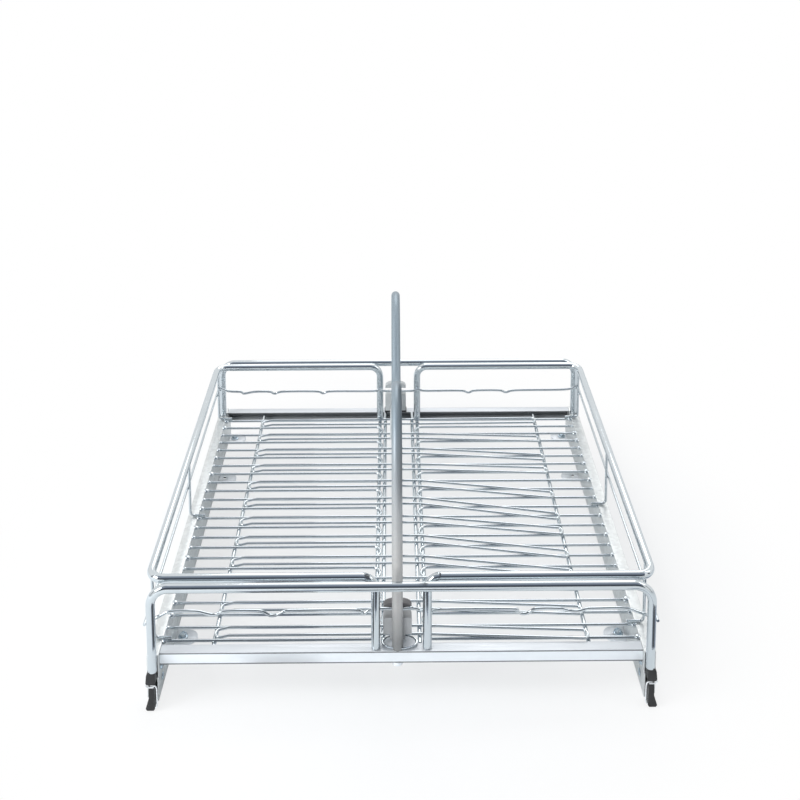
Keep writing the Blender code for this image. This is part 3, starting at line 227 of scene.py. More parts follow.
def layered(tree, shader, tone, coats, target="Base Color"):
    """Colours the shader with a first tone and with coats over it, each through its mask."""
    for mask, coat in coats:
        mix = {0: mask, 6: tone, 7: coat}
        tone = add(tree, "ShaderNodeMix", {"data_type": "RGBA"}, mix).outputs[2]
    tree.links.new(tone, shader.inputs[target])


def chrome_on_drawn_wire(colours):
    """Bright chrome plate on drawn steel wire: a mirror with the wire's faint ripples."""
    # Plating haze comes in patches of 20 mm, and keeps the mirror from being perfect
    haze = (0.018, 4.0)
    # The drawn rod under the plate has ripples about 6 mm long and some micrometres deep
    ripples = (0.006, 2.0)
    # Polishing grain is 0.3 mm, drawn three times as coarse so that it shows
    grain = (0.0009, 2.0)
    return surface(
        "Bright chrome plate on drawn wire",
        (haze, shade(colours.chrome, 0.93), linear(colours.chrome)), (haze, 0.05, 0.13),
        ((ripples, 0.0002, 0.10), (grain, 0.00005, 0.05)), Metallic=1.0,
    )[0]


def weld_metal(colours):
    """Plated resistance weld: squeezed, pitted metal, duller than the wire."""
    # The pits are about a millimetre wide
    pits = (0.0012, 4.0)
    return surface(
        "Chrome plate over weld metal",
        (pits, shade(colours.chrome, 0.55), shade(colours.chrome, 0.95)), (pits, 0.14, 0.38),
        ((pits, 0.0006, 0.6),), Metallic=1.0,
    )[0]


def zinc_on_pressed_steel(colours):
    """Blue passivated zinc on pressed steel: satin and cool, with faint cloudy patches."""
    # The coat's cloudy patches are some 30 mm wide
    cloud = (0.030, 5.0)
    # Rolling marks run along the bar, 0.8 mm apart
    marks = (0.0008, 2.0, 0.02, 1.0, 1.0)
    material, tree, shader, place = surface(
        "Blue passivated zinc on pressed steel",
        (cloud, shade(colours.zinc, 0.94), shade(colours.zinc, 1.06)), (marks, 0.36, 0.52),
        ((marks, 0.0001, 0.12),), Metallic=0.45,
    )
    cloudy = shader.inputs["Base Color"].links[0].from_socket
    normal = add(tree, "ShaderNodeNewGeometry").outputs["Normal"]
    facing = add(tree, "ShaderNodeSeparateXYZ", {}, {"Vector": normal}).outputs
    spot = add(tree, "ShaderNodeSeparateXYZ", {}, {"Vector": place}).outputs
    # Painted shade: faces that look upwards are drawn darker than those that face the front, for
    # how the light falls on them
    flat = {"Value": facing["Z"], "From Min": 0.80, "From Max": 0.98}
    flat = add(tree, "ShaderNodeMapRange", {}, flat).outputs["Result"]
    # Painted shade: the rear bar's front face is drawn dark, standing in for the shadow that falls
    # on it under the rim and mats
    front = {"Value": facing["Y"], "From Min": -0.9, "From Max": -0.6, "To Min": 1.0, "To Max": 0.0}
    front = add(tree, "ShaderNodeMapRange", {}, front).outputs["Result"]
    rear = add(tree, "ShaderNodeMath", {"operation": "GREATER_THAN"}, {0: spot["Y"], 1: 0.1})
    painted_rear_shade = {0: front, 1: rear.outputs[0]}
    painted_rear_shade = add(tree, "ShaderNodeMath", {"operation": "MULTIPLY"}, painted_rear_shade).outputs[0]
    coats = [(flat, shade(colours.zinc, 0.75)), (painted_rear_shade, shade(colours.zinc, 0.16))]
    # Painted dark lines 1.6 mm wide along the front bar's top fold and bottom edge: a painted
    # reflection of the dark room in the fold, and a painted shadow at the edge
    low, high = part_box("front_cross_bar")
    for fold in (high.z - 0.0011, low.z + 0.0006):
        near = {0: spot["Z"], 1: fold, 2: 0.0008}
        painted_dark_line = add(tree, "ShaderNodeMath", {"operation": "COMPARE"}, near).outputs[0]
        coats.append((painted_dark_line, shade(colours.zinc, 0.25)))
    layered(tree, shader, cloudy, coats)
    return material


def zinc_on_stamped_plate(colours):
    """Tumbled zinc on a stamped plate: pale and soft, with fine scratches."""
    # Tumbling leaves rub marks of 1.5 mm
    rub = (0.0015, 4.0)
    return surface(
        "Tumbled zinc on a stamped plate",
        (rub, shade(colours.zinc, 0.94), linear(colours.zinc)), (rub, 0.28, 0.42), Metallic=0.1,
    )[0]


def zinc_on_fasteners(colours):
    """Bright zinc on a cold-headed screw: shiny, slightly blue and yellow by turns."""
    # The passive film changes colour over some 4 mm, and the struck head is grained at 1 mm
    film, struck = (0.004, 3.0), (0.001, 3.0)
    return surface(
        "Bright zinc on cold-headed screws",
        (film, linear(colours.screw), linear(colours.screw_worn)), (film, 0.16, 0.30),
        ((struck, 0.0002, 0.2),), Metallic=1.0,
    )[0]


def galvanised_rail_steel(colours):
    """Galvanised strip, rolled to shape: matt spangles and lengthwise rolling lines."""
    # The rollers of the mill leave lines 1 mm apart along the rail
    lines = (0.001, 2.0, 1.0, 0.01, 1.0)
    material, tree, shader, place = surface(
        "Galvanised steel, rolled", None, (lines, 0.34, 0.50), ((lines, 0.0001, 0.15),),
        Metallic=0.7,
    )
    # Zinc freezes in spangles about 4 mm wide
    cells = {"Vector": place, "Scale": 1 / 0.004}
    spangle = add(tree, "ShaderNodeTexVoronoi", {"feature": "F1"}, cells).outputs["Color"]
    grey = add(tree, "ShaderNodeSeparateColor", {}, {"Color": spangle}).outputs["Red"]
    layered(tree, shader, shade(colours.rail, 0.90), ((grey, shade(colours.rail, 1.05)),))
    return material


def sheared_edge(colours):
    """Sheared edge of galvanised strip: bright where the blade burnished it."""
    # The torn part is grained at 0.8 mm
    torn = (0.0008, 3.0)
    return surface(
        "Sheared strip edge, bright",
        (torn, linear(colours.edge), linear(colours.edge_bright)), (torn, 0.30, 0.45),
        Metallic=0.3,
    )[0]


def lacquer_on_rod(colours):
    """Satin metallic lacquer on a bent steel rod: soft sheen and slight orange peel."""
    # The gloss changes in patches some 30 mm wide
    cloud = (0.030, 3.0)
    # Orange peel of sprayed lacquer has waves about 1.5 mm long
    peel = (0.0015, 1.0)
    material, tree, shader, place = surface(
        "Satin grey lacquer on steel rod", None, (cloud, 0.40, 0.48), ((peel, 0.0001, 0.15),),
        Metallic=0.5, Coat_Weight=0.10, Coat_Roughness=0.30,
    )
    # Painted light: painted shade darkens the legs at the feet; above them the lacquer is drawn a
    # lighter neutral grey, a painted reflection of the pale floor, and it turns to its own
    # blue-grey upwards and rearwards
    spot = add(tree, "ShaderNodeSeparateXYZ", {}, {"Vector": place}).outputs
    along = {0: spot["Y"], 1: 0.6, 2: spot["Z"]}
    along = add(tree, "ShaderNodeMath", {"operation": "MULTIPLY_ADD"}, along).outputs[0]
    masks = []
    for value, start, end in ((spot["Z"], 0.068, 0.112), (along, 0.0, 0.17)):
        span = {"Value": value, "From Min": start, "From Max": end}
        masks.append(add(tree, "ShaderNodeMapRange", {}, span).outputs["Result"])
    # Metal flakes in the lacquer are finer than 0.1 mm, drawn at 0.7 mm so that they show
    flakes = {"Vector": place, "Scale": 1 / 0.0007, "Detail": 2.0}
    flakes = add(tree, "ShaderNodeTexNoise", {}, flakes).outputs["Fac"]
    span = {"Value": flakes, **NOISE_RANGE, "To Max": 0.3}
    masks.append(add(tree, "ShaderNodeMapRange", {}, span).outputs["Result"])
    coats = zip(masks, (linear(colours.rod_low_painted_light), linear(colours.rod), shade(colours.rod, 1.3)))
    layered(tree, shader, shade(colours.rod_low_painted_light, 0.42), coats)
    return material


def moulded_plastic(colours, name, key, roughness, grain):
    """Moulded plastic: the mould's spark-eroded grain, and a slightly uneven gloss."""
    hex_colour = getattr(colours, key)
    # The melt's flow clouds the gloss over some 12 mm
    flow = (0.012, 3.0)
    return surface(
        name, (flow, shade(hex_colour, 0.93), shade(hex_colour, 1.07)),
        (flow, roughness - 0.04, roughness + 0.06), (((grain, 2.0), 0.0001, 0.35),), IOR=1.49,
    )[0]


def drawn_spring_wire(colours):
    """Cold-drawn spring wire: grey, oily sheen, marks along the wire."""
    # The die leaves marks about 1 mm apart
    marks = (0.001, 3.0)
    return surface(
        "Cold-drawn spring wire",
        (marks, shade(colours.spring, 0.8), shade(colours.spring, 1.1)), (marks, 0.22, 0.38),
        Metallic=1.0,
    )[0]


def finishes():
    """All finishes of the drawer, made once and then shared."""
    colours = bpy.context.scene.drawer_colours
    makers = {
        "chrome": (chrome_on_drawn_wire,),
        "weld": (weld_metal,),
        "zinc": (zinc_on_pressed_steel,),
        "plate": (zinc_on_stamped_plate,),
        "screw": (zinc_on_fasteners,),
        "rail": (galvanised_rail_steel,),
        "edge": (sheared_edge,),
        "rod": (lacquer_on_rod,),
        "moulding": (moulded_plastic, "Grey ABS, moulded", "moulding", 0.42, 0.0009),
        "front_knob": (moulded_plastic, "Dark ABS, moulded", "knob", 0.36, 0.0009),
        "rear_knob": (moulded_plastic, "Pale ABS, moulded", "rear_knob", 0.36, 0.0009),
        "black": (moulded_plastic, "Black polypropylene, moulded", "black", 0.38, 0.0010),
        "nylon": (moulded_plastic, "Natural nylon, moulded", "nylon", 0.40, 0.0010),
        "spring": (drawn_spring_wire,),
    }
    made = {}
    for key, (maker, *details) in makers.items():
        tag = "drawer_" + key
        found = [m for m in bpy.data.materials if m.get("drawer_finish") == tag]
        made[key] = found[0] if found else maker(colours, *details)
        made[key]["drawer_finish"] = tag
    return made


# Geometry node trees


def open_tree(name, inputs):
    """A geometry tree with its named inputs, and the sockets that they arrive at."""
    tree = bpy.data.node_groups.new(name, "GeometryNodeTree")
    for label, kind in (("Geometry", "Geometry"), *inputs, ("Finish", "Material")):
        tree.interface.new_socket(label, in_out="INPUT", socket_type="NodeSocket" + kind)
    tree.interface.new_socket("Geometry", in_out="OUTPUT", socket_type="NodeSocketGeometry")
    return tree, add(tree, "NodeGroupInput").outputs


def close_tree(tree, source, shape):
    """Ends a tree with real geometry in its finish."""
    real = add(tree, "GeometryNodeRealizeInstances", {}, {"Geometry": shape})
    coated = {"Geometry": real.outputs["Geometry"], "Material": source["Finish"]}
    coated = add(tree, "GeometryNodeSetMaterial", {}, coated)
    add(tree, "NodeGroupOutput", {}, {"Geometry": coated.outputs["Geometry"]})
    return tree


def wire_tree():
    """Sweeps a round section along every edge chain, as thick as each point says."""
    name = "Drawn wire along a path"
    if name in bpy.data.node_groups:
        return bpy.data.node_groups[name]
    tree, source = open_tree(name, (("Sides", "Int"), ("Thickness share", "Float")))
    curve = add(tree, "GeometryNodeMeshToCurve", {}, {"Mesh": source["Geometry"]})
    radius = add(
        tree, "GeometryNodeInputNamedAttribute", {"data_type": "FLOAT"}, {"Name": "wire_radius"}
    )
    scaled = {0: radius.outputs["Attribute"], 1: source["Thickness share"]}
    scaled = add(tree, "ShaderNodeMath", {"operation": "MULTIPLY"}, scaled).outputs[0]
    sized = add(
        tree, "GeometryNodeSetCurveRadius", {}, {"Curve": curve.outputs["Curve"], "Radius": scaled}
    )
    section = add(
        tree, "GeometryNodeCurvePrimitiveCircle", {}, {"Resolution": source["Sides"], "Radius": 1.0}
    )
    swept = add(
        tree, "GeometryNodeCurveToMesh", {},
        {"Curve": sized.outputs["Curve"], "Profile Curve": section.outputs["Curve"],
         "Scale": scaled, "Fill Caps": True},
    )
    return close_tree(tree, source, swept.outputs["Mesh"])


def spot_tree():
    """Sets a small squeezed blob at every point, each turned and sized a little differently."""
    name = "Weld spots"
    if name in bpy.data.node_groups:
        return bpy.data.node_groups[name]
    tree, source = open_tree(name, (
        ("Spot size", "Float"), ("Spot height", "Float"), ("Unevenness", "Float"), ("Seed", "Int"),
    ))
    blob = add(tree, "GeometryNodeMeshIcoSphere", {}, {"Radius": 0.5, "Subdivisions": 2})
    size = add(
        tree, "ShaderNodeCombineXYZ", {},
        {"X": source["Spot size"], "Y": source["Spot size"], "Z": source["Spot height"]},
    )
    least = add(
        tree, "ShaderNodeMath", {"operation": "SUBTRACT"}, {0: 1.0, 1: source["Unevenness"]}
    )
    share = add(
        tree, "FunctionNodeRandomValue", {"data_type": "FLOAT"},
        {2: least.outputs[0], 3: 1.0, "Seed": source["Seed"]},
    )
    grown = add(
        tree, "ShaderNodeVectorMath", {"operation": "SCALE"},
        {0: size.outputs[0], "Scale": share.outputs[1]},
    )
    # A spot tips by up to 14 degrees, and turns about the vertical as it likes
    turn = add(
        tree, "FunctionNodeRandomValue", {"data_type": "FLOAT_VECTOR"},
        {0: (-0.25, -0.25, 0.0), 1: (0.25, 0.25, 6.2), "Seed": source["Seed"]},
    )
    spots = add(
        tree, "GeometryNodeInstanceOnPoints", {},
        {"Points": source["Geometry"], "Instance": blob.outputs["Mesh"],
         "Rotation": turn.outputs[0], "Scale": grown.outputs[0]},
    )
    return close_tree(tree, source, spots.outputs["Instances"])


# Meshes and paths


def placed(name, mesh, *looks):
    """Links an object with this mesh, or with this bmesh made one, in its finishes."""
    if isinstance(mesh, bmesh.types.BMesh):
        shape, mesh = mesh, bpy.data.meshes.new(name)
        shape.to_mesh(mesh)
        shape.free()
    for look in looks:
        mesh.materials.append(look)
    obj = bpy.data.objects.new(name, mesh)
    bpy.context.scene.collection.objects.link(obj)
    return obj


def applied(obj):
    """Keeps what an object's modifiers make of it as a plain mesh."""
    bpy.context.view_layer.update()
    shape = obj.evaluated_get(bpy.context.evaluated_depsgraph_get())
    mesh = bpy.data.meshes.new_from_object(shape)
    obj.modifiers.clear()
    obj.data = mesh
    return obj


def finished(obj, angle=40):
    """Points the faces outwards and shades the piece by the angle of its edges."""
    shape = bmesh.new()
    shape.from_mesh(obj.data)
    bmesh.ops.recalc_face_normals(shape, faces=shape.faces)
    shape.to_mesh(obj.data)
    shape.free()
    obj.data.shade_smooth()
    obj.data.set_sharp_from_angle(angle=math.radians(angle))
    return obj


def grown_from(name, mesh, tree, values):
    """Runs a node tree over a mesh and keeps the result as a plain mesh."""
    obj = placed(name, mesh)
    modifier = obj.modifiers.new("shape", "NODES")
    modifier.node_group = tree
    for item in tree.interface.items_tree:
        if item.item_type == "SOCKET" and item.in_out == "INPUT" and item.name in values:
            modifier[item.identifier] = values[item.name]
    applied(obj).data.name = name
    bpy.data.meshes.remove(mesh)
    return obj


def wires(name, runs, finish, sides):
    """Round wires along runs of (points, diameter, closed)."""
    verts, edges, radii = [], [], []
    for points, diameter, closed in runs:
        start = len(verts)
        verts += [tuple(point) for point in points]
        radii += [diameter / 2] * len(points)
        edges += [(start + i, start + i + 1) for i in range(len(points) - 1)]
        if closed:
            edges.append((len(verts) - 1, start))
    mesh = bpy.data.meshes.new(name)
    mesh.from_pydata(verts, edges, [])
    attribute = mesh.attributes.new("wire_radius", "FLOAT", "POINT")
    attribute.data.foreach_set("value", radii)
    values = {"Sides": sides, "Thickness share": 1.0, "Finish": finish}
    return finished(grown_from(name, mesh, wire_tree(), values))


def single_rod(node, path, diameter, finish, body=DRAWER, sides=40):
    """One rod along a path, which takes its node's place."""
    carried(wires(node + "_rod", [(path, diameter, False)], finish, sides), body, node, node)


def weld_spots(node, ending, points, finish, size, flatness, seed):
    """Squeezed spots of weld metal, the smallest a little over half as large as the largest."""
    name = f"{node}_{ending}"
    mesh = bpy.data.meshes.new(name)
    mesh.from_pydata([tuple(p) for p in points], [], [])
    values = {
        "Spot size": size, "Spot height": size * flatness, "Unevenness": 0.45, "Seed": seed,
        "Finish": finish,
    }
    carried(finished(grown_from(name, mesh, spot_tree(), values), 60), DRAWER, node)


def half_turn(centre, across, along, steps):
    """Points half round a centre; across and along are the radii on X and on Y, with signs."""
    x, y, z = centre
    angles = [math.pi * step / steps for step in range(steps + 1)]
    return [(x + across * math.sin(a), y + along * math.cos(a), z) for a in angles]


def level_ring(shape, middle, reach_x, reach_y, height, steps, start=0.0):
    """Vertices on a level ellipse, the first one turned on by a share of a step."""
    angles = [2 * math.pi * (k + start) / steps for k in range(steps)]
    spots = [(middle.x + reach_x * math.cos(a), middle.y + reach_y * math.sin(a)) for a in angles]
    return [shape.verts.new((x, y, height)) for x, y in spots]


def rounded_path(corners, radius, steps):
    """A path through corners, each inner one replaced by an arc of the radius."""
    corners = [Vector(c) for c in corners]
    path = [corners[0]]
    for before, corner, after in zip(corners, corners[1:], corners[2:]):
        a = (before - corner).normalized()
        b = (after - corner).normalized()
        half = a.angle(b) / 2
        reach = radius / math.tan(half)
        centre = corner + (a + b).normalized() * (radius / math.sin(half))
        start = (corner + a * reach - centre).normalized()
        end = (corner + b * reach - centre).normalized()
        for step in range(steps + 1):
            path.append(centre + start.slerp(end, step / steps) * radius)
    path.append(corners[-1])
    return path


def smooth_path(points, steps):
    """Points read from a smooth curve that passes through the given ones."""
    points = [Vector(p) for p in points]
    ends = [points[0] * 2 - points[1], *points, points[-1] * 2 - points[-2]]
    path = []
    for p0, p1, p2, p3 in zip(ends, ends[1:], ends[2:], ends[3:]):
        for step in range(steps):
            t = step / steps
            path.append(
                (p1 * 2 + (p2 - p0) * t + (p0 * 2 - p1 * 5 + p2 * 4 - p3) * t ** 2
                 + (p1 * 3 - p0 - p2 * 3 + p3) * t ** 3) / 2
            )
    path.append(points[-1])
    return path


def front_line():
    """The world Y that the floor wires are counted from, 12.5 mm behind the front handle."""
    low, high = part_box("front_handle")
    return (low.y + high.y) / 2 + 0.0125


def reaches(node):
    """How near a node of one side comes to the drawer's middle plane, and how far from it."""
    low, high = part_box(node)
    return sorted((abs(low.x), abs(high.x)))


def carried(obj, body, slot, *nodes):
    """Makes a piece stand for CAD nodes and move with their body."""
    if nodes:
        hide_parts(*nodes)
    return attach(obj, body)


# Pressed, moulded and turned pieces


def softened(node, name, finish, body, width, segments=3):
    """A copy of a CAD node with its facets merged and its edges rounded.

    Faces that meet at under a degree become one, and edges of over 30 degrees are rounded.
    """
    shape = bmesh.new()
    shape.from_mesh(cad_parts[node].data)
    bmesh.ops.remove_doubles(shape, verts=shape.verts, dist=0.00001)
    bmesh.ops.dissolve_limit(
        shape, angle_limit=math.radians(1), verts=shape.verts, edges=shape.edges,
        use_dissolve_boundaries=False,
    )
    obj = placed(name, shape)
    bevel = obj.modifiers.new("soft edges", "BEVEL")
    bevel.width = width
    bevel.segments = segments
    bevel.limit_method = "ANGLE"
    bevel.angle_limit = math.radians(30)
    bevel.use_clamp_overlap = True
    applied(obj).data.materials.clear()
    obj.data.materials.append(finish)
    obj.data.shade_smooth()
    obj.data.set_sharp_from_angle(angle=math.radians(50))
    return carried(obj, body, node, node)


def turned(name, profile, steps, centre, axis, finish):
    """Turns (radius, height) pairs round an axis: X, or Z."""
    turn = Matrix.Rotation(math.pi / 2, 3, "Y") if axis == "X" else Matrix.Identity(3)
    shape = bmesh.new()
    rings = []
    for radius, height in profile:
        if radius <= 0:
            rings.append([shape.verts.new(turn @ Vector((0, 0, height)) + Vector(centre))])
            continue
        ring = []
        for k in range(steps):
            angle = 2 * math.pi * k / steps
            spot = Vector((radius * math.cos(angle), radius * math.sin(angle), height))
            ring.append(shape.verts.new(turn @ spot + Vector(centre)))
        rings.append(ring)
    for a, b in zip(rings, rings[1:]):
        for k in range(steps):
            m = (k + 1) % steps
            if len(a) == 1 and len(b) > 1:
                shape.faces.new((a[0], b[k], b[m]))
            elif len(b) == 1 and len(a) > 1:
                shape.faces.new((a[k], a[m], b[0]))
            elif len(a) > 1:
                shape.faces.new((a[k], a[m], b[m], b[k]))
    bmesh.ops.remove_doubles(shape, verts=shape.verts, dist=0.000001)
    return finished(placed(name, shape, finish))


def block(name, half, centre):
    """A box that cuts a slot."""
    shape = bmesh.new()
    bmesh.ops.create_cube(shape, size=2.0)
    bmesh.ops.scale(shape, vec=half, verts=shape.verts)
    bmesh.ops.translate(shape, vec=centre, verts=shape.verts)
    return placed(name, shape)


def cut_away(obj, *cutters):
    """Cuts shapes out of a piece, and removes them."""
    for cutter in cutters:
        modifier = obj.modifiers.new("cut", "BOOLEAN")
        modifier.operation = "DIFFERENCE"
        modifier.solver = "EXACT"
        modifier.object = cutter
    applied(obj)
    for cutter in cutters:
        bpy.data.objects.remove(cutter)
    return obj


# Operators


class DRAWER_OT_rims(bpy.types.Operator):
    """Builds the two halves of the top rail, with their centre posts."""

    bl_idname = "drawer.rims"
    bl_label = "Rims"
    bl_options = {"REGISTER", "UNDO"}
    # The posts stand in flat puddles of weld metal
    weld_width, weld_height, weld_rise = 0.0120, 0.0022, 0.0012

    def execute(self, context):
        sizes, finish = context.scene.drawer_sizes, finishes()
        for side, word in SIDES:
            node = word + "_rim"
            low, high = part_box(node)
            near, far = reaches(node)
            r = sizes.rim_wire / 2
            inner, outer = side * (near + r), side * (far - r)
            front, rear, top = low.y + r, high.y - r, high.z - r
            corners = [
                (inner, front, low.z), (inner, front, top), (outer, front, top),
                (outer, rear, top), (inner, rear, top), (inner, rear, low.z + GAP),
            ]
            path = rounded_path(corners, sizes.rim_bend, steps=12)
            single_rod(node, path, sizes.rim_wire, finish["chrome"])
            spots = [(inner, y, low.z + self.weld_rise) for y in (front, rear)]
            flatness = self.weld_height / self.weld_width
            weld_spots(
                node, "welds", spots, finish["weld"], self.weld_width, flatness, seed=3 + side
            )
        return {"FINISHED"}


class DRAWER_OT_handles(bpy.types.Operator):
    """Builds the front and rear handle bars on their legs."""

    bl_idname = "drawer.handles"
    bl_label = "Handles"
    bl_options = {"REGISTER", "UNDO"}

    def execute(self, context):
        sizes, finish = context.scene.drawer_sizes, finishes()
        for node in ("front_handle", "rear_handle"):
            low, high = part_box(node)
            r = sizes.rim_wire / 2
            x, y, top = high.x - r, (low.y + high.y) / 2, high.z - r
            corners = [(-x, y, low.z), (-x, y, top), (x, y, top), (x, y, low.z)]
            path = rounded_path(corners, sizes.handle_bend, steps=14)
            single_rod(node, path, sizes.rim_wire, finish["chrome"])
        return {"FINISHED"}


class DRAWER_OT_floor_mats(bpy.types.Operator):
    """Builds the hairpin wires of both floor halves on their runners."""

    bl_idname = "drawer.floor_mats"
    bl_label = "Floor mats"
    bl_options = {"REGISTER", "UNDO"}
    # The wires' ends are squeezed flat on the rails, into beads wider than the wire
    bead_share, bead_inset, bead_rise = 1.55, 0.0012, 0.0004

    def execute(self, context):
        sizes, finish = context.scene.drawer_sizes, finishes()
        chrome, spot = finish["chrome"], sizes.weld_spot
        start, count = front_line() + sizes.first_wire, sizes.wire_count
        places = [start + number * sizes.pitch for number in range(count)]
        runners = (sizes.turn_runner_x, sizes.runner_x)
        wire, radius = sizes.floor_wire, sizes.pitch / 2
        # The hairpins turn just outside the centre lane's runner
        turn_x = sizes.lane_runner_x + sizes.runner_wire / 2 + GAP + wire / 2 + radius
        for side, word in SIDES:
            node = word + "_floor_mat"
            low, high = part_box(node)
            outer = reaches(node)[1]
            height, runner_height = high.z - wire / 2, low.z + sizes.runner_wire / 2
            runs = []
            for y in places[1 - count % 2:-2:2]:
                centre = (side * turn_x, y + radius, height)
                turn = half_turn(centre, -side * radius, -radius, steps=16)
                ends = [(side * outer, y + along, height) for along in (0, 2 * radius)]
                runs.append(([ends[0], *turn, ends[1]], wire, False))
            for y in (places[0], places[-1]):
                ends = [(side * x, y, height) for x in (outer, turn_x - radius)]
                runs.append((ends, wire, False))
            for x in runners:
                ends = [(side * x, y, runner_height) for y in (low.y, high.y)]
                runs.append((ends, sizes.runner_wire, False))
            carried(wires(node + "_wires", runs, chrome, sides=14), DRAWER, node, node)
            spots = [(side * x, y, height - wire * 0.3) for y in places for x in runners]
            weld_spots(node, "welds", spots, chrome, spot, flatness=0.7, seed=11 + side)
            beads = [(side * (outer - self.bead_inset), y, height + self.bead_rise) for y in places]
            weld_spots(
                node, "beads", beads, chrome, spot * self.bead_share, 1 / self.bead_share,
                seed=13 + side,
            )
        return {"FINISHED"}


class DRAWER_OT_centre_grid(bpy.types.Operator):
    """Builds the long centre loops, which slant on the right half."""

    bl_idname = "drawer.centre_grid"
    bl_label = "Centre grid"
    bl_options = {"REGISTER", "UNDO"}
    # Places of the loops' right ends, as shares of the wire pitch from the first floor wire
    end_shares = (0.07, 1.97, 4.0, 5.15, 6.95, 9.2, 10.75, 13.1, 15.95, 17.6, 20.0, 22.6)
    # The loops dip to the left mat's runner over this length
    dip_length = 0.010

    def execute(self, context):
        sizes, finish = context.scene.drawer_sizes, finishes()
        node = "centre_floor_grid"
        low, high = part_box(node)
        wire, radius, spot = sizes.loop_wire, sizes.loop_half_width, sizes.weld_spot
        height = high.z - wire / 2
        low_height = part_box("left_floor_mat")[0].z + sizes.runner_wire + GAP + wire / 2
        start = front_line() + sizes.first_wire
        lane = (-sizes.lane_runner_x, sizes.lane_runner_x)
        slant_x, turn_x = sizes.lane_runner_x + radius, sizes.runner_x - radius
        bend_x = self.dip_length - turn_x
        runs, spots = [], []
        for index, share in enumerate(self.end_shares):
            middle, end = start + (2 * index + 0.5) * sizes.pitch, start + share * sizes.pitch
            front, rear = middle - radius, middle + radius
            points = [(bend_x, front, height), (slant_x, front, height)]
            points += half_turn((turn_x, end, height), radius, -radius, steps=12)
            points += [(slant_x, rear, height), (bend_x, rear, height)]
            points += half_turn((-turn_x, middle, low_height), -radius, radius, steps=12)
            runs.append((points, wire, True))
            spots += [(x, y, height - wire / 2) for x in lane for y in (front, rear)]
        runner_height = height - wire / 2 - sizes.runner_wire / 2 + SINK
        for x in lane:
            ends = [(x, y, runner_height) for y in (low.y, high.y)]
            runs.append((ends, sizes.runner_wire, False))
        carried(wires(node + "_wires", runs, finish["chrome"], sides=14), DRAWER, node, node)
        weld_spots(node, "welds", spots, finish["chrome"], spot, flatness=0.6, seed=21)
        return {"FINISHED"}


class DRAWER_OT_side_wires(bpy.types.Operator):
    """Builds the thin wires and posts along both sides."""

    bl_idname = "drawer.side_wires"
    bl_label = "Side wires"
    bl_options = {"REGISTER", "UNDO"}
    # Each post stands beside the floor wire of this number
    post_numbers = {"left": (1, 12, 24), "right": (2, 13, 24)}
    # Welds lie this far inside the side wire, and this far under the rim
    weld_inset, weld_drop = 0.0014, 0.001

    def execute(self, context):
        sizes, finish = context.scene.drawer_sizes, finishes()
        start, spot = front_line() + sizes.first_wire, sizes.weld_spot
        for side, word in SIDES:
            node = word + "_side_wires"
            low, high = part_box(node)
            rim = reaches(word + "_rim")[1] - sizes.rim_wire / 2
            post_x, tail_x = side * rim, side * reaches(node)[0]
            wire_x = side * (rim + sizes.post_wire / 2 + sizes.mid_wire / 2 - SINK)
            tail_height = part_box(word + "_moving_rail")[1].z + GAP + sizes.post_wire / 2
            mid_height = self.mid_height(node)
            ends = [(wire_x, y, mid_height) for y in (low.y, high.y)]
            runs, spots = [(ends, sizes.mid_wire, False)], []
            for number in self.post_numbers[word]:
                y = start + (number - 1) * sizes.pitch
                corners = [(post_x, y, high.z), (post_x, y, tail_height), (tail_x, y, tail_height)]
                path = rounded_path(corners, sizes.post_bend, steps=8)
                runs.append((path, sizes.post_wire, False))
                spots.append((wire_x - side * self.weld_inset, y, mid_height))
                spots.append((post_x, y, high.z - self.weld_drop))
            carried(wires(node + "_rods", runs, finish["chrome"], sides=16), DRAWER, node, node)
            weld_spots(node, "welds", spots, finish["weld"], spot, flatness=0.7, seed=31 + side)
        return {"FINISHED"}

    def mid_height(self, node):
        """The height of the side wire: the middle of the points at the node's outermost place."""
        corners = [v.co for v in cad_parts[node].data.vertices]
        # All points within a tenth of a millimetre of that place count
        far = max(abs(c.x) for c in corners)
        heights = [c.z for c in corners if abs(c.x) > far - 0.0001]
        return (min(heights) + max(heights)) / 2


